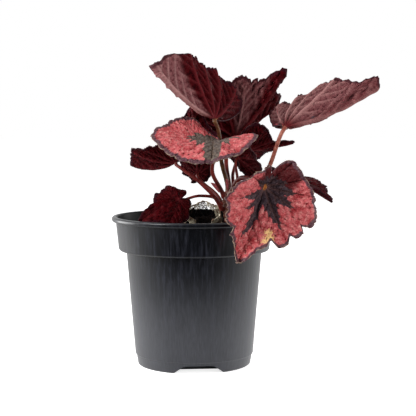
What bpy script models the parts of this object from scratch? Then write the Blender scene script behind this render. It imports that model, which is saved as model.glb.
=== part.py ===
"""Rex begonia growing in a round black nursery pot.

Metres, +Z up.  The origin is on the pot's base, on the pot's axis, and the
plant faces -Y.  Every physical piece is its own closed node: pot, soil,
propagation plug and its net, rhizome, leaf stalks, leaf blades, stipules.
"""
import math
from dataclasses import dataclass

import bmesh
import bpy
import numpy as np
from mathutils import Matrix, Vector

for thing in list(bpy.data.objects):
    bpy.data.objects.remove(thing, do_unlink=True)

MM = 0.001

# ---------------------------------------------------------------- pot sizes
RIM_R = 65.0 * MM            # outside of the rolled lip
POT_H = 117.7 * MM
LIP_H = 3.8 * MM
LIP_IN_R = 60.7 * MM         # inside of the mouth
COLLAR_TOP_R = 61.9 * MM
COLLAR_LOW_R = 59.6 * MM
COLLAR_LOW_Z = 91.0 * MM
BODY_TOP_R = 53.7 * MM
BODY_LOW_R = 46.8 * MM
FOOT_BAND_Z = 8.5 * MM
FOOT_BAND_R = 46.0 * MM
BASE_R = 44.6 * MM
WALL = 1.2 * MM
NOTCH_H = 6.4 * MM
NOTCH_LOW_W = 39.0 * MM
NOTCH_TOP_W = 23.0 * MM
NOTCH_IN_R = 25.0 * MM
NOTCH_FIRST_DEG = -84.5      # first foot notch, measured from +X
DRAIN_R = 3.0 * MM
GAP = 0.3 * MM               # air left between neighbouring nodes

# --------------------------------------------------------------- soil, plug
SOIL_EDGE_Z = 105.0 * MM
SOIL_MID_Z = 107.5 * MM
PLUG_X, PLUG_Y = 7.5 * MM, 2.0 * MM
PLUG_R = 12.2 * MM
PLUG_TOP_Z = 118.0 * MM
NET_R = 14.0 * MM
NET_T = 0.9 * MM
NET_BACK_Z = 130.0 * MM
NET_FRONT_Z = 112.0 * MM

# ------------------------------------------------------------------ rhizome
RHIZOME_FOOT = Vector((27.5, 1.0, 108.4)) * MM
RHIZOME_TOP = Vector((26.5, 1.0, 137.0)) * MM
RHIZOME_R = 4.6 * MM

BLADE_T = 0.8 * MM
BLADE_SPOKES = 24
BLADE_RINGS = 4


@dataclass(frozen=True)
class Leaf:
    """One leaf: blade pose in degrees, sizes in millimetres."""

    name: str
    hub: tuple                  # where the stalk meets the blade
    heading: float              # 0 = +X, 90 = away from the front
    rise: float
    bank: float
    length: float               # hub to tip
    left: tuple                 # front, side and basal lobe, relative
    right: tuple
    fold: tuple                 # left and right half, up from flat
    curl: tuple                 # left and right margin, down
    droop: float
    twist: float
    socket: tuple               # stalk's foot on the rhizome: angle, height
    bulge: tuple                # way point of the stalk
    stalk_r: float
    entry: float = 0.45         # how far the stalk comes in along the midrib


LEAVES = (
    Leaf("upper_left", (16.1, -12.3, 194.2), 225, 17, -18, 74, (1.21, 0.82, 0.97), (0.96, 0.8, 0.43),
         (70, 43), (-44, -5), -37, -6, (88, 136.5), (21.9, 5.7, 158.9), 1.7, 1.07),
    Leaf("upper_middle", (33.0, 39.1, 178.1), -18, 42, 31, 67, (0.98, 0.74, 0.5), (0.99, 1.12, 0.75),
         (34, 38), (-12, 58), -28, -21, (77, 126.7), (25.8, 27.6, 162.5), 1.8, 1.06),
    Leaf("far_right", (71.6, -5.8, 187.9), -45, 9, 50, 87, (0.82, 0.82, 0.79), (1.01, 0.9, 0.77),
         (50, 64), (-28, -64), -45, 8, (-2, 127.4), (56.3, -6.6, 152.0), 1.8, 0.15),
    Leaf("left_red", (14.4, -28.0, 175.8), 193, 1, -59, 48, (1.08, 0.95, 1.09), (1.2, 1.25, 0.6),
         (-40, 63), (61, -25), -21, -26, (240, 133.2), (14.4, -19.0, 153.1), 1.6, 0.56),
    Leaf("front_red", (53, -52, 144.1), -170, -71, 75, 63, (1.07, 1.06, 0.81), (1.08, 1.24, 0.6),
         (26, 75), (52, 5), -28, 24, (-64, 136.5), (37.4, -18.4, 149.0), 1.9, 0.29),
    Leaf("far_left", (-14.3, -5.4, 159.9), 150, -24, -16, 47, (1.2, 0.82, 1.02), (1.06, 0.93, 0.88),
         (35, 35), (39, -4), -41, 14, (215, 123.6), (6.8, -10.4, 142.9), 1.5, 0.68),
    Leaf("low_left", (-11.0, -17.4, 132.1), 234, -7, 43, 42, (1.0, 0.79, 0.5), (1.04, 0.97, 0.56),
         (-1, -4), (40, 52), 45, 9, (171, 127.7), (5.5, -1.6, 133.7), 1.2, 1.7),
    Leaf("back_left", (2.9, 23.1, 149.5), 253, 71, 0, 58, (0.91, 0.3, 0.28), (1.01, 0.48, 0.33),
         (20, 25), (9, 9), -8, 0, (135, 126.3), (3.9, 19.6, 145.5), 1.3, 1.62),
    Leaf("back_right", (39.5, 34.0, 168.5), 4, 1, -10, 43, (0.84, 1.02, 0.95), (0.82, 1.25, 0.68),
         (-12, 28), (28, -25), -13, -12, (55, 133.1), (31.3, 19.0, 151.2), 1.4, 0.93),
    Leaf("inner", (34.6, -4.0, 163.6), -40, -25, 54, 30, (0.99, 1.0, 0.95), (1.09, 1.04, 0.92),
         (19, 17), (23, 27), 15, -6, (-27, 134.6), (34.1, -4.9, 146.3), 1.2, 0.05),
    Leaf("right_tip", (77.8, 6, 144.9), -32, -16, 10, 39, (0.97, 1.04, 0.95), (0.95, 1.05, 0.95),
         (18, 18), (11, 15), 16, 0, (20, 121), (43.7, 5.5, 132.2), 1.3, 1.13),
)


def assembly(name):
    """Collection for the object's pieces."""
    group = bpy.data.collections.new(name)
    bpy.context.scene.collection.children.link(group)
    return group


PLANT = assembly("potted_begonia")
CUTTERS = assembly("cutters")


def material(name, colour, rough, metallic=0.0):
    mat = bpy.data.materials.new(name)
    mat.use_nodes = True
    shader = mat.node_tree.nodes["Principled BSDF"]
    shader.inputs["Base Color"].default_value = (*colour, 1.0)
    shader.inputs["Roughness"].default_value = rough
    shader.inputs["Metallic"].default_value = metallic
    mat.diffuse_color = (*colour, 1.0)
    return mat


POT_BLACK = material("pot_plastic", (0.030, 0.033, 0.040), 0.45)
PEAT = material("peat", (0.020, 0.014, 0.010), 0.95)
NETTING = material("netting", (0.55, 0.50, 0.40), 0.80)
BARK = material("rhizome_skin", (0.110, 0.045, 0.032), 0.70)
STALK = material("stalk_skin", (0.200, 0.060, 0.045), 0.55)
RED_LEAF = material("leaf_red", (0.420, 0.070, 0.080), 0.50)
DARK_LEAF = material("leaf_dark", (0.130, 0.028, 0.032), 0.55)
STIPULE = material("stipule", (0.520, 0.120, 0.120), 0.60)


def keep(obj, mat, group=PLANT):
    """Put an object in its collection with its own copy of the material."""
    group.objects.link(obj)
    if group is PLANT:
        own = mat.copy()
        own.name = obj.name + "_" + mat.name
        obj.data.materials.append(own)
    else:
        obj.hide_render = True
        obj.display_type = "WIRE"
    return obj


def boolean(obj, cutter, operation, name):
    mod = obj.modifiers.new(name, "BOOLEAN")
    mod.operation = operation
    mod.solver = "EXACT"
    mod.object = cutter
    mod.show_render = mod.show_viewport


def turned(name, profile, mat, steps, group=PLANT):
    """Screw a radius/height profile about Z; the profile runs from axis to axis."""
    mesh = bpy.data.meshes.new(name)
    bm = bmesh.new()
    verts = [bm.verts.new((r, 0.0, z)) for r, z in profile]
    for a, b in zip(verts, verts[1:]):
        bm.edges.new((a, b))
    bm.to_mesh(mesh)
    bm.free()
    obj = bpy.data.objects.new(name, mesh)
    keep(obj, mat, group)
    mod = obj.modifiers.new("turn", "SCREW")
    mod.steps = steps
    mod.render_steps = steps
    mod.use_merge_vertices = True
    mod.merge_threshold = 0.00005
    return obj


def notch_prism(name, grow, inner_r, outer_r, turn, group):
    """Trapezoid bar lying along a radius, rounded at its upper corners."""
    low, top = NOTCH_LOW_W / 2 + grow, NOTCH_TOP_W / 2 + grow
    high = NOTCH_H + grow
    round_x, round_z = (low - top) * 0.30, high * 0.16
    shoulder = high - 2 * round_z
    flare = (low - top - round_x) * 2 * MM / shoulder
    outline = [(low + flare, -2 * MM), (top + round_x, shoulder), (top, high - round_z / 2), (top - round_x, high)]
    outline += [(-x, z) for x, z in reversed(outline)]
    mesh = bpy.data.meshes.new(name)
    bm = bmesh.new()
    ring = [bm.verts.new((inner_r, x, z)) for x, z in outline]
    face = bm.faces.new(ring)
    out = bmesh.ops.extrude_face_region(bm, geom=[face])
    moved = [g for g in out["geom"] if isinstance(g, bmesh.types.BMVert)]
    bmesh.ops.translate(bm, vec=(outer_r - inner_r, 0, 0), verts=moved)
    bmesh.ops.rotate(bm, cent=(0, 0, 0), matrix=Matrix.Rotation(math.radians(turn), 3, "Z"), verts=bm.verts)
    bmesh.ops.recalc_face_normals(bm, faces=bm.faces)
    bm.to_mesh(mesh)
    bm.free()
    obj = bpy.data.objects.new(name, mesh)
    return keep(obj, POT_BLACK, group)


def build_pot():
    """Cup with a rolled lip and collar, three foot notches and drain holes."""
    lip_low = POT_H - LIP_H
    outer = [(0.0, 0.0), (BASE_R - 1.2 * MM, 0.0), (BASE_R, 0.8 * MM), (FOOT_BAND_R, FOOT_BAND_Z),
             (BODY_LOW_R, FOOT_BAND_Z + 0.6 * MM), (BODY_TOP_R, COLLAR_LOW_Z + 0.9 * MM),
             (COLLAR_LOW_R - 1.1 * MM, COLLAR_LOW_Z), (COLLAR_LOW_R, COLLAR_LOW_Z + 1.2 * MM),
             (COLLAR_TOP_R, lip_low + 0.4 * MM), (RIM_R - 0.9 * MM, lip_low), (RIM_R, lip_low + 1.0 * MM),
             (RIM_R, POT_H - 1.1 * MM), (RIM_R - 1.1 * MM, POT_H)]
    inner = [(LIP_IN_R + 1.0 * MM, POT_H), (LIP_IN_R, POT_H - 0.8 * MM), (COLLAR_LOW_R - WALL, COLLAR_LOW_Z + 2.4 * MM),
             (BODY_TOP_R - WALL, COLLAR_LOW_Z + 1.8 * MM), (BODY_LOW_R - WALL, FOOT_BAND_Z + 0.6 * MM),
             (BASE_R - WALL, 2.4 * MM), (BASE_R - WALL - 1.2 * MM, WALL), (0.0, WALL)]
    pot = turned("pot", (outer + inner)[::-1], POT_BLACK, 48)
    limit = turned("boss_limit", [(0.0, 10 * MM), (46.1 * MM, 10 * MM), (BASE_R - 1.0 * MM, 0.6 * MM),
                                  (0.0, 0.6 * MM)], POT_BLACK, 48, CUTTERS)
    for i in range(3):
        turn = NOTCH_FIRST_DEG + 120.0 * i
        boss = notch_prism(f"boss_{i}", WALL, NOTCH_IN_R - WALL, 60 * MM, turn, CUTTERS)
        boolean(boss, limit, "INTERSECT", "within_wall")
        boolean(pot, boss, "UNION", f"boss_{i}")
        notch = notch_prism(f"notch_{i}", 0.0, NOTCH_IN_R, 62 * MM, turn, CUTTERS)
        boolean(pot, notch, "DIFFERENCE", f"notch_{i}")
        mesh = bpy.data.meshes.new(f"drain_{i}")
        bm = bmesh.new()
        at = Matrix.Rotation(math.radians(turn), 4, "Z") @ Matrix.Translation((36 * MM, 0, 7 * MM))
        bmesh.ops.create_cone(bm, cap_ends=True, segments=12, radius1=DRAIN_R, radius2=DRAIN_R, depth=6 * MM,
                              matrix=at)
        bm.to_mesh(mesh)
        bm.free()
        drain = keep(bpy.data.objects.new(f"drain_{i}", mesh), POT_BLACK, CUTTERS)
        boolean(pot, drain, "DIFFERENCE", f"drain_{i}")


def build_soil():
    """Peat filling the pot, a little higher in the middle."""
    def wall(z):
        """Pot's inside radius at a height, less the gap."""
        if z > COLLAR_LOW_Z + 2.4 * MM:
            t = (z - COLLAR_LOW_Z - 2.4 * MM) / (POT_H - 0.8 * MM - COLLAR_LOW_Z - 2.4 * MM)
            return COLLAR_LOW_R - WALL + t * (LIP_IN_R - COLLAR_LOW_R + WALL) - 1.4 * GAP
        t = (z - FOOT_BAND_Z) / (COLLAR_LOW_Z + 1.8 * MM - FOOT_BAND_Z)
        return BODY_LOW_R - WALL + t * (BODY_TOP_R - BODY_LOW_R) - 1.4 * GAP
    low = FOOT_BAND_Z + 0.9 * MM
    step = COLLAR_LOW_Z + 2.9 * MM
    profile = [(0.0, SOIL_MID_Z), (24 * MM, SOIL_MID_Z), (40 * MM, SOIL_EDGE_Z + 0.8 * MM),
               (52 * MM, SOIL_EDGE_Z - 0.6 * MM), (wall(SOIL_EDGE_Z), SOIL_EDGE_Z), (wall(step), step),
               (wall(COLLAR_LOW_Z), step), (wall(low), low), (0.0, low)]
    turned("soil", profile, PEAT, 40)


def shell_from(bm, name, mat, thickness, offset=0.0):
    """Open surface made into a closed sheet of even thickness."""
    mesh = bpy.data.meshes.new(name)
    bm.to_mesh(mesh)
    bm.free()
    obj = keep(bpy.data.objects.new(name, mesh), mat)
    mod = obj.modifiers.new("thickness", "SOLIDIFY")
    mod.thickness = thickness
    mod.offset = offset
    mod.use_even_offset = False
    mod.show_render = mod.show_viewport
    return obj


def build_plug():
    """Peat plug and the torn net sleeve standing round it, open to the front."""
    centre = Vector((PLUG_X, PLUG_Y, 0))
    base = SOIL_MID_Z + GAP
    plug = turned("plug", [(0.0, PLUG_TOP_Z), (5 * MM, PLUG_TOP_Z - 0.4 * MM), (10 * MM, PLUG_TOP_Z - 2.6 * MM),
                           (PLUG_R, PLUG_TOP_Z - 6 * MM), (PLUG_R + 0.4 * MM, base), (0.0, base)], PEAT, 24)
    plug.location = centre
    bm = bmesh.new()
    columns, rows = 24, 4
    grid = []
    for j in range(columns + 1):
        angle = math.radians(-62 + 304 * j / columns)
        back = 0.5 + 0.5 * math.sin(angle)
        top = NET_FRONT_Z + (NET_BACK_Z - NET_FRONT_Z) * back ** 0.7 + 0.8 * MM * math.sin(5 * angle)
        column = []
        for k in range(rows + 1):
            t = k / rows
            radius = NET_R + 0.5 * MM * math.sin(3 * angle + 4 * t) - 1.6 * MM * t ** 3 * back
            column.append(bm.verts.new((centre.x + radius * math.cos(angle), centre.y + radius * math.sin(angle),
                                        base + 0.3 * MM + (top - base) * t)))
        grid.append(column)
    for a, b in zip(grid, grid[1:]):
        for k in range(rows):
            bm.faces.new((a[k], b[k], b[k + 1], a[k + 1]))
    shell_from(bm, "plug_net", NETTING, NET_T)


def tube(name, points, radii, mat, sides=8):
    """Round tapering stem through the points, closed at both ends."""
    bm = bmesh.new()
    last = len(points) - 1
    rings = []
    side = Vector((0.31, 0.93, 0.17))
    for i, p in enumerate(points):
        along = (points[min(i + 1, last)] - points[max(i - 1, 0)]).normalized()
        side = (side - along * side.dot(along)).normalized()
        up = along.cross(side)
        rings.append([bm.verts.new(p + (side * math.cos(t) + up * math.sin(t)) * radii[i])
                      for t in (2 * math.pi * k / sides for k in range(sides))])
    for a, b in zip(rings, rings[1:]):
        for k in range(sides):
            bm.faces.new((a[k], a[(k + 1) % sides], b[(k + 1) % sides], b[k]))
    bm.faces.new(rings[0][::-1])
    bm.faces.new(rings[-1])
    bmesh.ops.recalc_face_normals(bm, faces=bm.faces)
    mesh = bpy.data.meshes.new(name)
    bm.to_mesh(mesh)
    bm.free()
    return keep(bpy.data.objects.new(name, mesh), mat)


def build_rhizome():
    """Knobbly upright rhizome beside the plug."""
    count = 8
    points, radii = [], []
    for i in range(count + 1):
        t = i / count
        sway = Vector((0.7 * math.sin(4.2 * t), 0.6 * math.cos(5.1 * t) - 0.6, 0)) * MM
        points.append(RHIZOME_FOOT.lerp(RHIZOME_TOP, t) + sway)
        radii.append(RHIZOME_R * (1.10, 1.04, 0.95, 1.02, 0.96, 1.0, 0.97, 0.86, 0.55)[i])
    tube("rhizome", points, radii, BARK, 10)


def smooth(a, b, x):
    t = np.clip((x - a) / (b - a), 0.0, 1.0)
    return t * t * (3 - 2 * t)


def outline(leaf, phi):
    """Margin distance from the hub, relative to the length, by direction."""
    a = np.abs(phi)
    heart = (0.66 + 0.10 * np.cos(a) + 0.24 * np.exp(-(a / 0.22) ** 2)) * (
        1 - 0.88 * np.exp(-((math.pi - a) / 0.30) ** 2))
    weights = np.stack([np.exp(-((a - 0.50) / 0.42) ** 2), np.exp(-((a - 1.30) / 0.52) ** 2),
                        np.exp(-((a - 2.35) / 0.60) ** 2)]) + 1e-7
    lobes = np.where(phi >= 0, np.array(leaf.left)[:, None], np.array(leaf.right)[:, None])
    factor = (weights * lobes).sum(0) / weights.sum(0)
    return heart * (1 + (factor - 1) * smooth(0.02, 0.30, a))


def frame_of(leaf):
    """Midrib, left and normal directions at the hub."""
    h, e, b = (math.radians(v) for v in (leaf.heading, leaf.rise, leaf.bank))
    mid = np.array([math.cos(e) * math.cos(h), math.cos(e) * math.sin(h), math.sin(e)])
    up = np.array([-math.sin(e) * math.cos(h), -math.sin(e) * math.sin(h), math.cos(e)])
    side = np.cross(up, mid)
    normal = math.cos(b) * up + math.sin(b) * side
    return mid, np.cross(normal, mid), normal


def blade_points(leaf, phi, rho):
    """Blade surface at direction phi and fraction rho of the margin distance."""
    length = leaf.length * MM
    reach = outline(leaf, phi) * length * rho
    u, v = reach * np.cos(phi), reach * np.sin(phi)
    left = v >= 0
    fold = np.radians(np.where(left, leaf.fold[0], leaf.fold[1]))
    curl = np.radians(np.where(left, leaf.curl[0], leaf.curl[1])) / (0.62 * length)
    curl = np.where(np.abs(curl) < 1e-4, 1e-4, curl)
    s = np.abs(v)
    y = (np.sin(fold) - np.sin(fold - curl * s)) / curl * np.where(left, 1.0, -1.0)
    z = -(np.cos(fold) - np.cos(fold - curl * s)) / curl
    twist = math.radians(leaf.twist) * u / length
    y, z = y * np.cos(twist) - z * np.sin(twist), y * np.sin(twist) + z * np.cos(twist)
    bend = math.radians(leaf.droop) / length
    bend = bend if abs(bend) > 1e-3 else 1e-3
    x = np.sin(bend * u) / bend + z * np.sin(bend * u)
    z = -(1 - np.cos(bend * u)) / bend + z * np.cos(bend * u)
    mid, side, normal = frame_of(leaf)
    hub = np.array(leaf.hub) * MM
    return hub + x[..., None] * mid + y[..., None] * side + z[..., None] * normal


def build_blade(leaf, mat):
    """Heart-shaped sheet, folded, curled and drooped about its hub."""
    bm = bmesh.new()
    spokes, rings = BLADE_SPOKES, BLADE_RINGS
    bmesh.ops.create_circle(bm, cap_ends=True, cap_tris=True, segments=spokes, radius=1.0)
    radial = [e for e in bm.edges if any(v.co.length < 0.5 for v in e.verts)]
    bmesh.ops.subdivide_edges(bm, edges=radial, cuts=rings - 1, use_grid_fill=True)
    flat = np.array([v.co[:] for v in bm.verts])
    rho = np.clip(np.hypot(flat[:, 0], flat[:, 1]), 0, 1)
    ring = np.round(rho * rings) / rings
    phi = np.arctan2(flat[:, 1], flat[:, 0])
    step = 2 * math.pi / spokes
    phi = np.round(phi / step) * step
    phi = np.where(phi > math.pi - 1e-4, math.pi - 1e-4, phi)
    placed = blade_points(leaf, phi, ring ** 0.9)
    for vert, place in zip(bm.verts, placed):
        vert.co = Vector(place)
    bmesh.ops.recalc_face_normals(bm, faces=bm.faces)
    shell_from(bm, "blade_" + leaf.name, mat, BLADE_T)


def stalk_path(leaf, count=9):
    """Foot, way point and hub joined by one smooth curve."""
    angle, height = math.radians(leaf.socket[0]), leaf.socket[1] * MM
    t = (height - RHIZOME_FOOT.z) / (RHIZOME_TOP.z - RHIZOME_FOOT.z)
    core = RHIZOME_FOOT.lerp(RHIZOME_TOP, t)
    out = Vector((math.cos(angle), math.sin(angle), 0))
    foot = core + out * (RHIZOME_R * 1.05 + leaf.stalk_r * MM + GAP)
    mid, _, normal = frame_of(leaf)
    down = Vector(-0.9 * normal - leaf.entry * mid).normalized()
    hub = Vector(leaf.hub) * MM
    lean = leaf.entry / math.hypot(0.9, leaf.entry)
    end = hub - Vector(normal) * (BLADE_T / 2 + 1.5 * GAP + 0.82 * lean * leaf.stalk_r * MM)
    way = Vector(leaf.bulge) * MM
    span = (way - foot).length
    reach = (end - way).length
    p1 = foot + (out * 0.45 + Vector((0, 0, 0.9))).normalized() * span * 0.4
    tangent = (end - foot).normalized()
    first = (foot, p1, way - tangent * span * 0.33, way)
    second = (way, way + tangent * reach * 0.33, end + down * reach * 0.28, end)
    points = []
    for piece, (a, b, c, d) in enumerate((first, second)):
        for i in range(count // 2 + 1):
            if piece and i == 0:
                continue
            s = i / (count // 2)
            points.append(a * (1 - s) ** 3 + b * 3 * s * (1 - s) ** 2 + c * 3 * s * s * (1 - s) + d * s ** 3)
    return points


def build_stalk(leaf):
    points = stalk_path(leaf)
    last = len(points) - 1
    radii = [leaf.stalk_r * MM * (1.12 - 0.30 * i / last) for i in range(last + 1)]
    tube("stalk_" + leaf.name, points, radii, STALK)


def build_stipules():
    """Two papery spikes left at the crown."""
    for name, foot, tip, width in (("stipule_left", (20.2, 1.2, 136.5), (13.2, 3.6, 143.5), 1.2),
                                   ("stipule_right", (26.6, -0.4, 138.8), (25.6, -3.4, 147.0), 1.1)):
        a, b = Vector(foot) * MM, Vector(tip) * MM
        points = [a.lerp(b, t) + Vector((0, 0, 1.2 * MM * math.sin(math.pi * t))) for t in (0, .3, .65, 1)]
        tube(name, points, [width * MM * k for k in (0.7, 1.0, 0.7, 0.25)], STIPULE, 6)


build_pot()
build_soil()
build_plug()
build_rhizome()
for one in LEAVES:
    build_stalk(one)
    build_blade(one, RED_LEAF if one.name.endswith("_red") else DARK_LEAF)
build_stipules()
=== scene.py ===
"""Dressed model of a rex begonia in a black nursery pot.

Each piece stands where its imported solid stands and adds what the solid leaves
out: leaf margins, veins and star markings, peat and perlite, the torn net and
the moulded pot.  Lengths are in metres, and MM turns millimetres into them.
A leaf's own shape and marks are relative to its length.
"""
from __future__ import annotations

import logging
import math
from dataclasses import dataclass, field
from enum import Enum

import bmesh
import bpy
import numpy as np
from bmesh.types import BMEdge, BMesh, BMFace, BMVert
from bpy.types import Material, Node, NodeSocket, NodeTree, Object
from mathutils import Matrix, Vector, noise


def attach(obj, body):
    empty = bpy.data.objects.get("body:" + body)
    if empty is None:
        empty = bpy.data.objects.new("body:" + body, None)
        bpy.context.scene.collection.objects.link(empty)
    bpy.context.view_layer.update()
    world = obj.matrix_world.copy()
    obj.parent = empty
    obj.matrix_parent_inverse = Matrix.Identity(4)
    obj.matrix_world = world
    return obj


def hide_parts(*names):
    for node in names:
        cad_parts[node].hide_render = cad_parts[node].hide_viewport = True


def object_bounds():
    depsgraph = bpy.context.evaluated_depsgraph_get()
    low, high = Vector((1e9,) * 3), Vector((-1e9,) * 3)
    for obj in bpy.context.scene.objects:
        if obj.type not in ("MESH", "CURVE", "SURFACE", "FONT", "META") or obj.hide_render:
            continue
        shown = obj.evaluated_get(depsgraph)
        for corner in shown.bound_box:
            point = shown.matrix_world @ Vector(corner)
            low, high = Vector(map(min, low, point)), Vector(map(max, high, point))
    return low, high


MM = 0.001
PLUG_X, PLUG_Y = 7.5 * MM, 2.0 * MM
FLAT_UV = 5.0                # units of a leaf's flat map per metre
SOFT_EDGE = 60.0             # degrees; earth, bark and stalks are smooth below it
log = logging.getLogger("begonia")

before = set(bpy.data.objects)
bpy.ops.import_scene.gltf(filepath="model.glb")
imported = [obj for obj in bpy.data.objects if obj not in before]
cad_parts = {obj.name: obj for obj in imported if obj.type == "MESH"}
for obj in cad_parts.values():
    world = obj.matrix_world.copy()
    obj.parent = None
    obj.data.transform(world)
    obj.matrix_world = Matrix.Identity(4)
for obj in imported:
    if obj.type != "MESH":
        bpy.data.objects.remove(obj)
CAD_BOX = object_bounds()


# ------------------------------------------------------------ small helpers
def smooth(low: float, high: float, value: np.ndarray) -> np.ndarray:
    """Smooth step of an array from low to high."""
    t = np.clip((value - low) / (high - low), 0.0, 1.0)
    return t * t * (3.0 - 2.0 * t)


def lumps(at: Vector, waves: tuple) -> float:
    """Sum of noises at a place; a wave is an amount, a scale and maybe a shift."""
    return sum(amount * noise.noise(at * scale + Vector(shift or (0, 0, 0)))
               for amount, scale, *shift in waves)


def within(points: np.ndarray, give: float) -> np.ndarray:
    """Eases points back inside the solids' box.

    Args:
        points: Places, one to a row.
        give: Depth below the box's faces over which they are eased.

    Returns:
        The places, all inside the box.
    """
    for sign, limit in ((-1, np.array(CAD_BOX[0])), (1, np.array(CAD_BOX[1]))):
        over = sign * (points - limit) + give
        eased = limit - sign * give * np.exp(-np.maximum(over, 0) / give)
        points = np.where(over > 0, eased, points)
    return points


def finish_mesh(name: str, bm: BMesh, *materials: Material,
                crease: float | None = SOFT_EDGE) -> Object:
    """Turns a bmesh into a named object in the scene.

    Args:
        name: The piece's name.
        bm: The finished bmesh, freed here.
        *materials: Materials in slot order.
        crease: Edges sharper than this, in degrees, stay sharp.  None leaves
            every face flat.

    Returns:
        The new object, at the origin.
    """
    mesh = bpy.data.meshes.new(name)
    bm.to_mesh(mesh)
    bm.free()
    obj = bpy.data.objects.new(name, mesh)
    bpy.context.scene.collection.objects.link(obj)
    for material in materials:
        mesh.materials.append(material)
    if crease is not None:
        mesh.shade_smooth()
        mesh.set_sharp_from_angle(angle=math.radians(crease))
    return obj


def settle(obj: Object, node: str) -> None:
    """Ties a finished piece to the part.

    Args:
        obj: The piece.
        node: The solid that the piece stands for.
    """
    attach(obj, "root")
    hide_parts(node)
    log.info("%s: %d vertices, for %s", obj.name, len(obj.data.vertices), node)


# ----------------------------------------------------------- shader helpers
class Graph:
    """Short hand for building one node tree."""

    def __init__(self, tree: NodeTree) -> None:
        """Keeps the tree that the nodes go into."""
        self.tree = tree

    def put(self, node: Node, **inputs: object) -> Node:
        """Fills a node's inputs.

        Args:
            node: The node.
            **inputs: Values or links, by socket name with _ for a space, or
                in0, in1... for a socket's number.

        Returns:
            The same node.
        """
        for key, value in inputs.items():
            numbered = key.startswith("in") and key[2:].isdigit()
            socket = node.inputs[int(key[2:]) if numbered else key.replace("_", " ")]
            if isinstance(value, NodeSocket):
                self.tree.links.new(value, socket)
            else:
                socket.default_value = value
        return node

    def node(self, kind: str, settings: dict | None = None, **inputs: object) -> Node:
        """Adds a node.

        Args:
            kind: Node type without its ShaderNode prefix.
            settings: Properties to set on the node.
            **inputs: Values or links, as put takes them.

        Returns:
            The new node.
        """
        made = self.tree.nodes.new("ShaderNode" + kind)
        for key, value in (settings or {}).items():
            setattr(made, key, value)
        return self.put(made, **inputs)

    def group(self, tree: NodeTree, **inputs: object) -> Node:
        """Node group, placed with its own values."""
        return self.node("Group", {"node_tree": tree}, **inputs)

    def object_place(self) -> NodeSocket:
        """Object coordinates."""
        return self.node("TexCoord").outputs["Object"]

    def math(self, operation: str, *values: object) -> NodeSocket:
        """Output of a Math node on the given values or links."""
        inputs = {f"in{i}": value for i, value in enumerate(values)}
        return self.node("Math", {"operation": operation}, **inputs).outputs[0]

    def times(self, value: object, factor: object) -> NodeSocket:
        """Product of two values."""
        return self.math("MULTIPLY", value, factor)

    def weighed(self, *parts: tuple[object, float]) -> NodeSocket:
        """Adds values up by weight.

        Args:
            *parts: Pairs of a value and its weight.

        Returns:
            The sum.
        """
        *others, last = (self.times(*part) for part in parts)
        for part in reversed(others):
            last = self.math("ADD", part, last)
        return last

    def vector(self, operation: str, *values: object) -> NodeSocket:
        """Vector output of a Vector Math node."""
        inputs = {f"in{i}": value for i, value in enumerate(values)}
        return self.node("VectorMath", {"operation": operation}, **inputs).outputs[0]

    def step(self, value: object, low: object, high: object) -> NodeSocket:
        """Smooth step of a value from low to high."""
        return self.node("MapRange", {"interpolation_type": "SMOOTHSTEP"}, Value=value,
                         From_Min=low, From_Max=high).outputs[0]

    def noise(self, vector: object, scale: object, detail: float) -> NodeSocket:
        """Value of a noise texture."""
        return self.node("TexNoise", Vector=vector, Scale=scale, Detail=detail).outputs[0]

    def cells(self, vector: object, scale: object, feature: str) -> NodeSocket:
        """Distance output of a Voronoi texture."""
        return self.node("TexVoronoi", {"feature": feature}, Vector=vector,
                         Scale=scale).outputs["Distance"]

    def mix(self, factor: object, low: object, high: object) -> NodeSocket:
        """Colour mixed from low to high by a factor."""
        return self.node("Mix", {"data_type": "RGBA"}, in0=factor, in6=low,
                         in7=high).outputs[2]

    def blend(self, factor: object, low: object, high: object) -> NodeSocket:
        """Number mixed from low to high by a factor."""
        return self.node("Mix", {"data_type": "FLOAT"}, in0=factor, in2=low,
                         in3=high).outputs[0]

    def layers(self, face: object, *layers: tuple[object, object, float]) -> NodeSocket:
        """Lays colours over a face.

        Args:
            face: The colour below.
            *layers: Colour, mask and greatest share of each layer, in order.

        Returns:
            The colour on top.
        """
        for over, mask, share in layers:
            face = self.mix(self.times(mask, share), face, over)
        return face

    def bump(self, height: object, strength: float, distance: float,
             **below: NodeSocket) -> NodeSocket:
        """Normal with a relief on it; another relief's Normal may lie below."""
        return self.node("Bump", Height=height, Strength=strength, Distance=distance,
                         **below).outputs[0]


def colour(red: float, green: float, blue: float) -> tuple[float, float, float, float]:
    """Linear colour with an alpha of one, from display values of 0 to 255."""
    def linear(value: float) -> float:
        """One channel, display to linear."""
        c = value / 255.0
        return c / 12.92 if c <= 0.04045 else ((c + 0.055) / 1.055) ** 2.4
    return linear(red), linear(green), linear(blue), 1.0


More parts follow.
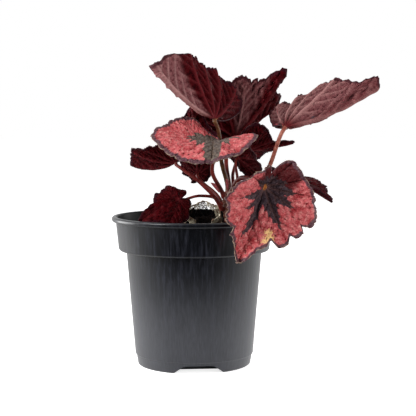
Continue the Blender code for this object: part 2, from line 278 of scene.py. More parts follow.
class Effects:
    """Node groups that several finishes share."""

    SPECK_SCALE = 5.3            # a mottle's specks are this much finer than its patches
    SPECK_SHARE = 0.32
    SOFTNESS = 0.12              # half width of a mottle's soft edges
    WOBBLE_SCALE = 0.8           # how coarsely the web of the puckers is bent
    PUCKER_EDGE = 0.35           # of a pucker's width
    WEB = (0.02, 0.10)           # thickness of the web, its middle and its edge
    FRAY = (46.0, 5.0)           # scale and detail of the marks' ragged edges
    SPECKS = (150.0, 4.0)        # and of the specks along them

    def __init__(self) -> None:
        """Makes each group once."""
        self.mottle = self._mottle()
        self.puckers = self._puckers()
        self.marks = self._marks()

    @staticmethod
    def _group(name: str, takes: dict[str, str],
               gives: dict[str, str]) -> tuple[NodeTree, Graph, Node, Node]:
        """Starts a node group.

        Args:
            name: The group's name.
            takes: Kind of each input, by name.
            gives: Kind of each output, by name.

        Returns:
            The group, its graph and its input and output nodes.
        """
        tree = bpy.data.node_groups.new(name, "ShaderNodeTree")
        for way, sockets in (("INPUT", takes), ("OUTPUT", gives)):
            for label, kind in sockets.items():
                tree.interface.new_socket(label, in_out=way, socket_type="NodeSocket" + kind)
        return (tree, Graph(tree), tree.nodes.new("NodeGroupInput"),
                tree.nodes.new("NodeGroupOutput"))

    def _mottle(self) -> NodeTree:
        """Uneven mix of two colours, in patches with soft specks.

        Returns:
            The group.
        """
        tree, g, start, end = self._group(
            "mottle", {"Vector": "Vector", "Light": "Color", "Dark": "Color",
                       "Scale": "Float", "Balance": "Float"},
            {"Color": "Color", "Mask": "Float"})
        at, light, dark, scale, balance = start.outputs[:5]
        patches = g.node("TexNoise", Vector=at, Scale=scale, Detail=4.0, Roughness=0.6).outputs[0]
        specks = g.noise(at, g.times(scale, self.SPECK_SCALE), 2.0)
        mask = g.step(g.weighed((patches, 1 - self.SPECK_SHARE), (specks, self.SPECK_SHARE)),
                      g.math("SUBTRACT", balance, self.SOFTNESS),
                      g.math("ADD", balance, self.SOFTNESS))
        g.put(end, Color=g.mix(mask, light, dark), Mask=mask)
        return tree

    def _puckers(self) -> NodeTree:
        """Puckered height: small cells between a web of fine lines.

        Returns:
            The group.
        """
        tree, g, start, end = self._group(
            "puckers", {"Vector": "Vector", "Scale": "Float", "Wobble": "Float"},
            {"Height": "Float", "Web": "Float"})
        at, scale, wobble = start.outputs[:3]
        shift = g.node("TexNoise", Vector=at, Scale=g.times(scale, self.WOBBLE_SCALE), Detail=2.0)
        offset = g.node("VectorMath", {"operation": "SCALE"}, in0=shift.outputs["Color"],
                        Scale=g.math("DIVIDE", wobble, scale)).outputs[0]
        edge = g.cells(g.vector("ADD", at, offset), scale, "DISTANCE_TO_EDGE")
        g.put(end, Height=g.step(edge, 0.0, self.PUCKER_EDGE),
              Web=g.math("SUBTRACT", 1.0, g.step(edge, *self.WEB)))
        return tree

    def _marks(self) -> NodeTree:
        """Leaf masks with ragged edges, from the attributes painted on each blade.

        Returns:
            The group.
        """
        labels = ("Vein", "Star", "Border", "Fringe", "Hub", "Gloom", "Scar", "Bloom")
        tree, g, start, end = self._group("leaf_marks", {"Vector": "Vector", "Ragged": "Float"},
                                          dict.fromkeys(labels, "Float"))
        painted = {name: g.node("Attribute", {"attribute_name": name})
                   for name in ("marks", "zones")}
        marks, zones = (g.node("SeparateColor", Color=paint.outputs["Color"]).outputs
                        for paint in painted.values())
        at, ragged = start.outputs[:2]
        fray = g.times(g.math("SUBTRACT", g.noise(at, *self.FRAY), 0.5), ragged)
        specks = g.math("SUBTRACT", g.noise(at, *self.SPECKS), 0.5)
        # the alpha of the marks carries the painted sheen of lit sectors
        g.put(end, Vein=marks[0], Bloom=painted["marks"].outputs["Alpha"])
        for label, mask, frayed, specked, low, high in (
                ("Star", marks[1], 1.9, 0.35, 0.46, 0.56),
                ("Border", marks[2], 1.5, 0.0, 0.46, 0.66),
                ("Fringe", marks[2], 1.5, 0.0, 0.94, 1.0),
                ("Hub", zones[0], 1.0, 0.0, 0.35, 0.75),
                # painted shade of the basal lobes
                ("Gloom", zones[1], 1.5, 0.0, 0.25, 0.75),
                ("Scar", zones[2], 0.0, 1.7, 0.38, 0.62)):
            mask = g.math("ADD", mask, g.times(fray, frayed))
            mask = g.math("ADD", mask, g.times(specks, specked))
            g.put(end, **{label: g.step(mask, low, high)})
        return tree

    def mottled(self, g: Graph, at: object, light: object, dark: object, scale: float,
                balance: float) -> Node:
        """Mottle of two colours, placed in a graph."""
        return g.group(self.mottle, Vector=at, Light=light, Dark=dark, Scale=scale,
                       Balance=balance)


# ------------------------------------------------------------------ finishes
class Finish:
    """A named finish; each kind of finish paints its own shader inputs."""

    name: str

    def paint(self, g: Graph, effects: Effects) -> dict[str, object]:
        """Works the finish out.

        Args:
            g: Graph of the material.
            effects: The shared node groups.

        Returns:
            Values and links for the Principled BSDF, by input.
        """
        raise NotImplementedError

    def build(self, effects: Effects) -> Material:
        """Makes the material.

        Args:
            effects: The shared node groups.

        Returns:
            The material.
        """
        material = bpy.data.materials.new(self.name)
        material.use_nodes = True
        g = Graph(material.node_tree)
        g.put(material.node_tree.nodes["Principled BSDF"], **self.paint(g, effects))
        return material


@dataclass(frozen=True)
class PotPlastic(Finish):
    """Black polypropylene: streaks that are partly wear and partly painted highlight, a foot paler
    with dust and a painted reflection of the floor, and painted shade inside.
    """

    name: str = "pot_plastic"
    base: tuple = colour(7, 8, 14)
    # streaks: partly wear, partly painted highlight
    worn_and_highlight: tuple = colour(32, 34, 44)
    # painted shade on the inside walls
    inner: tuple = colour(2, 2, 3)
    # paler foot: partly dust, partly a painted reflection of the floor
    dust_and_reflection: tuple = colour(86, 87, 92)
    pale_foot_top: float = 92.0 * MM
    pale_foot_full: float = 18.0 * MM
    dusting: float = 0.64
    draw: float = 1.6            # change of the streaks with height, per metre
    gloss: float = 0.50
    gloss_inside: float = 0.03
    relief: float = 0.6 * MM

    def paint(self, g: Graph, effects: Effects) -> dict[str, object]:
        """Moulded finish with flow streaks and scuffs that carry painted highlights, a foot paler
        with dust and painted floor reflection, and painted shade inside.
        """
        at = g.object_place()
        parts = g.node("SeparateXYZ", Vector=at).outputs
        around = g.vector("NORMALIZE", g.node("CombineXYZ", X=parts[0], Y=parts[1]).outputs[0])
        low = g.node("Mapping", Vector=at, Scale=(0.0, 0.0, self.draw)).outputs[0]
        along = g.vector("ADD", around, low)
        streaks, fine = g.noise(along, 26.0, 3.0), g.noise(along, 95.0, 2.0)
        wear_and_highlight_noise = g.weighed((streaks, 0.58), (fine, 0.32), (g.noise(at, 170.0, 5.0), 0.10))
        # streaks lightened: wear and painted highlight
        skin = g.mix(g.step(wear_and_highlight_noise, 0.45, 0.70), self.base, self.worn_and_highlight)
        # paler towards the bottom: dust and a painted reflection of the floor
        foot = g.times(g.step(parts[2], self.pale_foot_top, self.pale_foot_full),
                       g.blend(g.step(fine, 0.25, 0.75), 0.75, 1.0))
        # painted shade: walls that face inwards are darker and lose their gloss
        facing = g.node("VectorMath", {"operation": "DOT_PRODUCT"}, in0=around,
                        in1=g.node("NewGeometry").outputs["Normal"]).outputs["Value"]
        inside = g.step(facing, 0.1, -0.4)
        return dict(
            Base_Color=g.layers(skin, (self.dust_and_reflection, foot, self.dusting), (self.inner, inside, 1.0)),
            Specular_IOR_Level=g.blend(inside, self.gloss, self.gloss_inside),
            Roughness=g.blend(g.step(wear_and_highlight_noise, 0.35, 0.7), 0.28, 0.36),
            Normal=g.bump(g.weighed((streaks, 0.8), (fine, 0.2)), 0.18, self.relief))


@dataclass(frozen=True)
class Peat(Finish):
    """Damp dark potting peat, dry in patches."""

    name: str = "peat"
    wet: tuple = colour(17, 13, 12)
    dry: tuple = colour(52, 40, 32)
    rough: float = 0.92
    gloss: float = 0.08
    relief: float = 1.2 * MM

    def paint(self, g: Graph, effects: Effects) -> dict[str, object]:
        """Crumbly matt finish."""
        at = g.object_place()
        crumbs, patches = g.noise(at, 520.0, 6.0), g.noise(at, 90.0, 3.0)
        dryness = g.step(g.weighed((crumbs, 0.6), (patches, 0.4)), 0.46, 0.68)
        return dict(Base_Color=g.mix(dryness, self.wet, self.dry), Roughness=self.rough,
                    Specular_IOR_Level=self.gloss, Normal=g.bump(crumbs, 0.9, self.relief))


@dataclass(frozen=True)
class Grain(Finish):
    """Perlite, pale and full of pores."""

    name: str = "perlite"
    pale: tuple = colour(232, 224, 208)
    stained: tuple = colour(150, 128, 104)
    rough: float = 0.85
    relief: float = 0.4 * MM

    def paint(self, g: Graph, effects: Effects) -> dict[str, object]:
        """Chalky finish with brown stains."""
        at = g.object_place()
        stain = g.step(g.noise(at, 380.0, 4.0), 0.45, 0.75)
        return dict(Base_Color=g.mix(stain, self.pale, self.stained), Roughness=self.rough,
                    Normal=g.bump(g.cells(at, 1700.0, "F1"), 0.7, self.relief))


@dataclass(frozen=True)
class NetFibre(Finish):
    """Pale plug netting with peat caught in it."""

    name: str = "net_fibre"
    clean: tuple = colour(206, 196, 170)
    soiled: tuple = colour(104, 80, 60)
    rough: float = 0.75
    relief: float = 0.2 * MM

    def paint(self, g: Graph, effects: Effects) -> dict[str, object]:
        """Fibrous off-white finish, browner in patches."""
        at = g.object_place()
        dirt = g.step(g.noise(at, 210.0, 5.0), 0.44, 0.62)
        return dict(Base_Color=g.mix(dirt, self.clean, self.soiled), Roughness=self.rough,
                    Normal=g.bump(g.noise(at, 2400.0, 2.0), 0.6, self.relief))


@dataclass(frozen=True)
class Skin(Finish):
    """Skin of a stalk or of the rhizome, with pale flecks drawn out along it."""

    name: str
    young: tuple
    old: tuple
    fleck: tuple
    rough: float = 0.42
    gloss: float = 0.25
    grain: tuple = (900.0, 900.0, 260.0)     # flecks per metre across and along
    relief: float = 0.3 * MM

    def paint(self, g: Graph, effects: Effects) -> dict[str, object]:
        """Mottled stem finish."""
        at = g.object_place()
        mottle = effects.mottled(g, at, self.young, self.old, 70.0, 0.5).outputs["Color"]
        fleck = g.noise(g.node("Mapping", Vector=at, Scale=self.grain).outputs[0], 1.0, 2.0)
        return dict(Base_Color=g.layers(mottle, (self.fleck, g.step(fleck, 0.66, 0.74), 0.6)),
                    Roughness=self.rough, Specular_IOR_Level=self.gloss,
                    Normal=g.bump(fleck, 0.5, self.relief))


@dataclass(frozen=True)
class LeafTop(Finish):
    """Upper face: rose patches, a dark star along the veins, a dark border and painted shade on the
    basal lobes.
    """

    name: str
    rose: tuple = colour(190, 94, 96)
    rose_pale: tuple = colour(216, 156, 148)
    rose_deep: tuple = colour(136, 34, 40)
    star: tuple = colour(46, 34, 40)
    star_grey: tuple = colour(74, 62, 68)
    border: tuple = colour(74, 40, 50)
    border_grey: tuple = colour(104, 82, 84)
    fringe: tuple = colour(150, 128, 108)
    hub: tuple = colour(180, 112, 60)
    vein: tuple = colour(128, 92, 88)
    # painted shade laid over the basal lobes
    gloom: tuple = colour(58, 8, 12)
    scar: tuple = colour(232, 200, 134)
    scar_brown: tuple = colour(188, 112, 88)
    ragged: float = 0.32
    gloss: float = 0.12
    relief: float = 1.1 * MM
    hair: float = 0.4 * MM

    def paint(self, g: Graph, effects: Effects) -> dict[str, object]:
        """Painted leaf face with puckers, on the blade's flat map."""
        flat = g.node("UVMap", {"uv_map": "flat"}).outputs[0]
        marks = g.group(effects.marks, Vector=flat, Ragged=self.ragged).outputs
        puckers = g.group(effects.puckers, Vector=flat, Scale=95.0, Wobble=0.5).outputs

        def mottled(light: object, dark: object, scale: float, balance: float) -> NodeSocket:
            """Mottle of two colours on the flat map."""
            return effects.mottled(g, flat, light, dark, scale, balance).outputs["Color"]

        rose = mottled(self.rose, self.rose_deep, 34.0, 0.53)
        star = mottled(self.star_grey, self.star, 120.0, 0.46)
        face = g.layers(
            mottled(rose, self.rose_pale, 70.0, 0.60),
            (self.rose_deep, puckers["Web"], 0.22),
            (self.rose_deep, marks["Vein"], 0.35),
            # painted shade on the basal lobes
            (self.gloom, marks["Gloom"], 0.92),
            (g.layers(star, (self.vein, marks["Vein"], 0.50)), marks["Star"], 1.0),
            (mottled(self.scar, self.scar_brown, 150.0, 0.55), marks["Scar"], 1.0),
            (mottled(self.border_grey, self.border, 110.0, 0.46), marks["Border"], 1.0),
            (self.fringe, marks["Fringe"], 0.7),
            (self.hub, marks["Hub"], 1.0))
        relief = g.bump(puckers["Height"], 0.50, self.relief)
        return dict(Base_Color=face, Roughness=g.blend(marks["Star"], 0.44, 0.38),
                    Specular_IOR_Level=self.gloss,
                    Normal=g.bump(g.noise(flat, 900.0, 3.0), 0.25, self.hair, Normal=relief))


@dataclass(frozen=True)
class LeafUnder(Finish):
    """Lower face: dark wine red, with raised paler ribs, and painted sheen: greyer sectors with
    paler ribs where light falls.
    """

    name: str
    wine: tuple = colour(60, 4, 8)
    plum: tuple = colour(26, 0, 2)
    rib: tuple = colour(108, 38, 42)
    border: tuple = colour(46, 16, 24)
    # painted sheen: greyer colours for the sectors that face the light
    bloom: tuple = colour(124, 76, 78)
    painted_sheen_deep: tuple = colour(72, 32, 36)
    rib_sheen: tuple = colour(182, 140, 136)
    ragged: float = 0.25
    gloss: float = 0.02
    relief: float = -1.2 * MM    # the upper face's puckers, seen from below
    hair: float = 0.4 * MM

    def paint(self, g: Graph, effects: Effects) -> dict[str, object]:
        """Wine-red face with ribs, a fine web and painted sheen on lit sectors, on the blade's flat
        map.
        """
        flat = g.node("UVMap", {"uv_map": "flat"}).outputs[0]
        marks = g.group(effects.marks, Vector=flat, Ragged=self.ragged).outputs
        puckers = g.group(effects.puckers, Vector=flat, Scale=80.0, Wobble=0.5).outputs
        base = effects.mottled(g, flat, self.wine, self.plum, 38.0, 0.52).outputs
        sheen_mottle = effects.mottled(g, flat, self.bloom, self.painted_sheen_deep, 84.0, 0.52).outputs
        # painted sheen: greyer mottle and paler ribs in the sectors that face the light
        rib = g.mix(marks["Bloom"], self.rib, self.rib_sheen)
        face = g.layers(base["Color"], (sheen_mottle["Color"], marks["Bloom"], 1.0),
                        (rib, puckers["Web"], 0.07), (rib, marks["Vein"], 0.70),
                        (self.border, marks["Border"], 0.8))
        relief = g.bump(puckers["Height"], 0.34, self.relief)
        return dict(Base_Color=face, Roughness=g.blend(base["Mask"], 0.40, 0.50),
                    Specular_IOR_Level=self.gloss,
                    Normal=g.bump(g.noise(flat, 500.0, 2.0), 0.15, self.hair, Normal=relief))


@dataclass(frozen=True)
class Bract(Finish):
    """Dry papery bract."""

    name: str = "bract"
    pink: tuple = colour(196, 96, 100)
    brown: tuple = colour(120, 64, 60)
    rough: float = 0.7
    relief: float = 0.3 * MM

    def paint(self, g: Graph, effects: Effects) -> dict[str, object]:
        """Matt finish, pink and brown."""
        at = g.object_place()
        mottle = effects.mottled(g, at, self.pink, self.brown, 260.0, 0.5).outputs["Color"]
        return dict(Base_Color=mottle, Roughness=self.rough,
                    Normal=g.bump(g.noise(at, 1500.0, 3.0), 0.5, self.relief))


# ----------------------------------------------------------------------- pot
@dataclass
class NurseryPot:
    """Round pot with a rolled lip, a collar, three foot notches and drains."""

    rim_r: float = 65.0 * MM
    height: float = 117.7 * MM
    lip_h: float = 3.8 * MM
    mouth_r: float = 60.7 * MM
    collar_top_r: float = 61.9 * MM
    collar_low_r: float = 59.6 * MM
    collar_z: float = 91.0 * MM
    body_top_r: float = 53.7 * MM
    body_low_r: float = 46.8 * MM
    band_z: float = 8.5 * MM
    band_r: float = 46.0 * MM
    base_r: float = 44.6 * MM
    wall: float = 1.2 * MM
    edge_r: float = 0.28 * MM        # rounding of the profile's corners
    notch_h: float = 6.4 * MM
    notch_low: float = 39.0 * MM
    notch_top: float = 23.0 * MM
    notch_in_r: float = 25.0 * MM
    notch_turn: float = -84.5
    notches: int = 3
    drain_r: float = 3.0 * MM
    drain_at: float = 36.0 * MM
    past: float = 62.0 * MM          # where the cutters end, beyond the wall
    crease: float = 38.0
    turns: int = 160

    def wall_r(self, z: float) -> float:
        """Inside radius of the wall.

        Args:
            z: Height above the base.

        Returns:
            The radius there.
        """
        ledge = self.collar_z + 2.4 * MM
        if z > ledge:
            t = (z - ledge) / (self.height - 0.8 * MM - ledge)
            low = self.collar_low_r - self.wall
            return low + t * (self.mouth_r - low)
        t = (z - self.band_z) / (ledge - 0.6 * MM - self.band_z)
        return self.body_low_r - self.wall + t * (self.body_top_r - self.body_low_r)

    def _profile(self) -> list[tuple[float, float]]:
        """Radius and height pairs, from the base up the outside and down the inside."""
        lip_low = self.height - self.lip_h
        outer = [(0.0, 0.0), (self.base_r - 1.2 * MM, 0.0), (self.base_r, 0.8 * MM),
                 (self.band_r, self.band_z), (self.body_low_r, self.band_z + 0.6 * MM),
                 (self.body_top_r, self.collar_z + 0.9 * MM),
                 (self.collar_low_r - 1.1 * MM, self.collar_z),
                 (self.collar_low_r, self.collar_z + 1.2 * MM),
                 (self.collar_top_r, lip_low + 0.4 * MM), (self.rim_r - 0.9 * MM, lip_low),
                 (self.rim_r, lip_low + 1.0 * MM), (self.rim_r, self.height - 1.1 * MM),
                 (self.rim_r - 1.1 * MM, self.height)]
        inner = [(self.mouth_r + 1.0 * MM, self.height), (self.mouth_r, self.height - 0.8 * MM),
                 (self.collar_low_r - self.wall, self.collar_z + 2.4 * MM),
                 (self.body_top_r - self.wall, self.collar_z + 1.8 * MM),
                 (self.body_low_r - self.wall, self.band_z + 0.6 * MM),
                 (self.base_r - self.wall, 2.4 * MM),
                 (self.base_r - self.wall - 1.2 * MM, self.wall), (0.0, self.wall)]
        return outer + inner

    def _turned(self, profile: list[tuple[float, float]], edge_r: float = 0.0) -> BMesh:
        """Spins a closed profile about the pot's axis.

        Args:
            profile: Radius and height pairs.
            edge_r: Rounding of its corners.

        Returns:
            The solid.
        """
        bm = bmesh.new()
        verts = [bm.verts.new((r, 0.0, z)) for r, z in profile]
        for a, b in zip(verts, verts[1:]):
            bm.edges.new((a, b))
        if edge_r:
            bmesh.ops.bevel(bm, geom=verts[1:-1], offset=edge_r, affect="VERTICES", segments=3,
                            profile=0.5, material=-1)
        bmesh.ops.spin(bm, geom=list(bm.verts) + list(bm.edges), cent=(0, 0, 0), axis=(0, 0, 1),
                       dvec=(0, 0, 0), angle=2 * math.pi, steps=self.turns, use_merge=True)
        bmesh.ops.remove_doubles(bm, verts=bm.verts, dist=1e-6)
        bmesh.ops.recalc_face_normals(bm, faces=bm.faces)
        return bm

    def _bar(self, grow: float, outer_r: float, turn: float) -> BMesh:
        """Trapezoid bar along a radius, its upper corners rounded.

        Args:
            grow: How much larger than a foot notch it is on every side.
            outer_r: Radius where it ends.
            turn: Its direction in degrees.

        Returns:
            The solid.
        """
        inner_r = self.notch_in_r - grow
        low, top = self.notch_low / 2 + grow, self.notch_top / 2 + grow
        high = self.notch_h + grow
        round_x, round_z = (low - top) * 0.30, high * 0.16
        shoulder = high - 2 * round_z
        flare = (low - top - round_x) * 2 * MM / shoulder
        side = [(low + flare, -2 * MM), (top + round_x, shoulder), (top, high - round_z / 2),
                (top - round_x, high)]
        side += [(-x, z) for x, z in reversed(side)]
        bm = bmesh.new()
        face = bm.faces.new([bm.verts.new((inner_r, x, z)) for x, z in side])
        out = bmesh.ops.extrude_face_region(bm, geom=[face])
        moved = [g for g in out["geom"] if isinstance(g, BMVert)]
        bmesh.ops.translate(bm, vec=(outer_r - inner_r, 0, 0), verts=moved)
        bmesh.ops.rotate(bm, cent=(0, 0, 0), matrix=Matrix.Rotation(math.radians(turn), 3, "Z"),
                         verts=bm.verts)
        bmesh.ops.recalc_face_normals(bm, faces=bm.faces)
        return bm

    @staticmethod
    def _combine(target: Object, tool: BMesh, operation: str) -> None:
        """Joins or cuts a solid with a passing one.

        Args:
            target: The solid that stays.
            tool: The other solid, freed here.
            operation: UNION, DIFFERENCE or INTERSECT.
        """
        other = finish_mesh("tool", tool, crease=None)
        mod = target.modifiers.new("cut", "BOOLEAN")
        mod.operation, mod.solver, mod.object = operation, "EXACT", other
        bpy.context.view_layer.update()
        graph = bpy.context.evaluated_depsgraph_get()
        mesh = bpy.data.meshes.new_from_object(target.evaluated_get(graph))
        target.modifiers.clear()
        old, target.data = target.data, mesh
        bpy.data.meshes.remove(old)
        mesh.name = target.name
        bpy.data.objects.remove(other, do_unlink=True)

    def build(self, material: Material) -> None:
        """Models the pot, raises its drainage channels and cuts its feet and drains.

        Args:
            material: The moulded plastic.
        """
        pot = finish_mesh("nursery_pot", self._turned(self._profile(), self.edge_r), crease=None)
        low, high = 0.6 * MM, 10.0 * MM
        limit = [(0.0, high), (self.band_r + 0.1 * MM, high), (self.base_r - 1.0 * MM, low),
                 (0.0, low)]
        for i in range(self.notches):
            turn = self.notch_turn + 360.0 / self.notches * i
            boss = finish_mesh("boss", self._bar(self.wall, self.past - 2.0 * MM, turn),
                               crease=None)
            self._combine(boss, self._turned(limit), "INTERSECT")
            channel = bmesh.new()
            channel.from_mesh(boss.data)
            bpy.data.objects.remove(boss, do_unlink=True)
            self._combine(pot, channel, "UNION")
            self._combine(pot, self._bar(0.0, self.past, turn), "DIFFERENCE")
            drain = bmesh.new()
            at = (Matrix.Rotation(math.radians(turn), 4, "Z")
                  @ Matrix.Translation((self.drain_at, 0, 7 * MM)))
            bmesh.ops.create_cone(drain, cap_ends=True, segments=20, radius1=self.drain_r,
                                  radius2=self.drain_r, depth=6 * MM, matrix=at)
            self._combine(pot, drain, "DIFFERENCE")
        pot.data.materials.clear()
        pot.data.materials.append(material)
        pot.data.shade_smooth()
        pot.data.set_sharp_from_angle(angle=math.radians(self.crease))
        settle(pot, "pot")


# ---------------------------------------------------------------------- soil
@dataclass
class Bed:
    """Peat in the pot, with perlite and loose crumbs on it."""

    pot: NurseryPot
    mid_z: float = 107.5 * MM
    edge_z: float = 105.0 * MM
    low_z: float = 9.9 * MM                      # over the drainage channels
    mound: tuple = (52.0 * MM, 22.0 * MM)        # radii where the mound starts and is full
    lump: float = 1.3 * MM
    waves: tuple = ((0.9, 95.0), (0.6, 260.0, 7, 3, 1), (0.35, 620.0, 1, 9, 4))
    sink: float = 0.55                           # lowers the lumps by this much of one
    wall_gap: float = 2.6 * MM
    knobs: float = 0.34                          # depth of a pebble's dents, of its radius
    seed: int = 11

    def surface_z(self, x: float, y: float) -> float:
        """Height of the peat at a place, with its lumps."""
        rise = float(smooth(*self.mound, np.array(math.hypot(x, y))))
        lump = lumps(Vector((x, y, 0.0)), self.waves) - self.sink
        return self.edge_z + (self.mid_z - self.edge_z) * rise + lump * self.lump

    def build_peat(self, material: Material) -> None:
        """Lumpy body of peat down to the pot's floor.

        Args:
            material: The peat.
        """
        bm = bmesh.new()
        reach = self.pot.wall_r(self.edge_z) - 0.2 * MM
        bmesh.ops.create_circle(bm, cap_ends=True, cap_tris=True, segments=150, radius=reach)
        spokes = [e for e in bm.edges if any(v.co.length < 0.1 * reach for v in e.verts)]
        bmesh.ops.subdivide_edges(bm, edges=spokes, cuts=70, use_grid_fill=True)
        for vert in bm.verts:
            vert.co.z = self.surface_z(vert.co.x, vert.co.y)
        edge = [e for e in bm.edges if e.is_boundary]
        for z in (self.pot.collar_z + 2.9 * MM, self.low_z):
            out = bmesh.ops.extrude_edge_only(bm, edges=edge)["geom"]
            edge = [g for g in out if isinstance(g, BMEdge)]
            radius = self.pot.wall_r(min(z, self.pot.collar_z)) - 0.4 * MM
            for vert in {v for e in edge for v in e.verts}:
                out_by = radius / math.hypot(vert.co.x, vert.co.y)
                vert.co = (vert.co.x * out_by, vert.co.y * out_by, z)
        bmesh.ops.holes_fill(bm, edges=edge, sides=0)
        bmesh.ops.recalc_face_normals(bm, faces=bm.faces)
        settle(finish_mesh("peat_bed", bm, material), "soil")

    def _scatter(self, count: int, rng: np.random.Generator, clear: float) -> list[Vector]:
        """Places on the peat.

        Args:
            count: How many.
            rng: Source of the places.
            clear: Distance kept from the plug's middle.

        Returns:
            The places.
        """
        spots: list[Vector] = []
        while len(spots) < count:
            r = (self.pot.wall_r(self.edge_z) - self.wall_gap) * math.sqrt(rng.random())
            a = rng.random() * 2 * math.pi
            x, y = r * math.cos(a), r * math.sin(a)
            if math.hypot(x - PLUG_X, y - PLUG_Y) > clear:
                spots.append(Vector((x, y, self.surface_z(x, y))))
        return spots

    def _pebbles(self, name: str, spots: list[Vector], sizes: tuple[float, float], detail: int,
                 rng: np.random.Generator, material: Material) -> None:
        """Many small knobbly lumps as one piece.

        Args:
            name: The piece's name.
            spots: Centres on the peat.
            sizes: Smallest and largest radius.
            detail: Icosphere subdivisions.
            rng: Source of the shapes.
            material: Finish.
        """
        bm = bmesh.new()
        for spot in spots:
            size = sizes[0] + (sizes[1] - sizes[0]) * rng.random() ** 2
            squash = Matrix.Diagonal((1.0, 0.7 + 0.4 * rng.random(), 0.55 + 0.4 * rng.random(), 1))
            turn = Matrix.Rotation(rng.random() * 6.28, 4, "Z")
            at = Matrix.Translation(spot + Vector((0, 0, size * 0.25))) @ turn @ squash
            made = bmesh.ops.create_icosphere(bm, subdivisions=detail, radius=size, matrix=at)
            for vert in made["verts"]:
                push = noise.noise(vert.co * (0.9 / size) + Vector((size * 9e3, 0, 0)))
                vert.co += (vert.co - spot) * self.knobs * push
        settle(finish_mesh(name, bm, material, crease=30.0), "soil")

    def build_grains(self, perlite: Material, peat: Material) -> None:
        """Perlite grains, peat crumbs and pale grit lying on the bed.

        Args:
            perlite: Finish of the grains and the grit.
            peat: Finish of the crumbs.
        """
        rng = np.random.default_rng(self.seed)
        for name, count, clear, small, large, detail, material in (
                ("perlite_grains", 130, 15.5, 0.7, 1.9, 2, perlite),
                ("peat_crumbs", 260, 13.0, 0.5, 2.0, 1, peat),
                ("pale_grit", 420, 12.0, 0.25, 0.8, 1, perlite)):
            self._pebbles(name, self._scatter(count, rng, clear * MM), (small * MM, large * MM),
                          detail, rng, material)


# ---------------------------------------------------------------------- tube
def tube(bm: BMesh, path: list[Vector], radii: list[float], sides: int) -> None:
    """Extrudes a capped ring along a path.

    Args:
        bm: The bmesh that takes the tube.
        path: Points along the middle.
        radii: Radius at each point.
        sides: Corners of the ring.
    """
    last = len(path) - 1
    side = Vector((0.31, 0.93, 0.17))        # any direction that no path starts in

    def ring_frame(i: int) -> Matrix:
        """Place, turn and size of ring i."""
        nonlocal side
        along = (path[min(i + 1, last)] - path[max(i - 1, 0)]).normalized()
        side = (side - along * side.dot(along)).normalized()
        turn = Matrix((side, along.cross(side), along)).transposed().to_4x4()
        return Matrix.Translation(path[i]) @ turn @ Matrix.Diagonal((*[radii[i]] * 3, 1))

    at = ring_frame(0)
    start = bmesh.ops.create_circle(bm, cap_ends=True, segments=sides, radius=1.0, matrix=at)
    face = start["verts"][0].link_faces[0]
    for i in range(1, last + 1):
        following = ring_frame(i)
        out = bmesh.ops.extrude_face_region(bm, geom=[face], use_keep_orig=(i == 1))
        face = next(g for g in out["geom"] if isinstance(g, BMFace))
        bmesh.ops.transform(bm, matrix=following @ at.inverted(), verts=list(face.verts))
        at = following


def curve_through(points: list[Vector], steps: int) -> list[Vector]:
    """Smooth path through points.

    Args:
        points: The points.
        steps: Spans between each two.

    Returns:
        Points of the path.
    """
    path: list[Vector] = []
    padded = [points[0] * 2 - points[1], *points, points[-1] * 2 - points[-2]]
    for a, b, c, d in zip(padded, padded[1:], padded[2:], padded[3:]):
        for k in range(steps):
            t = k / steps
            path.append(0.5 * (2 * b + (c - a) * t + (2 * a - 5 * b + 4 * c - d) * t * t
                               + (3 * b - a - 3 * c + d) * t ** 3))
    path.append(points[-1].copy())
    return path


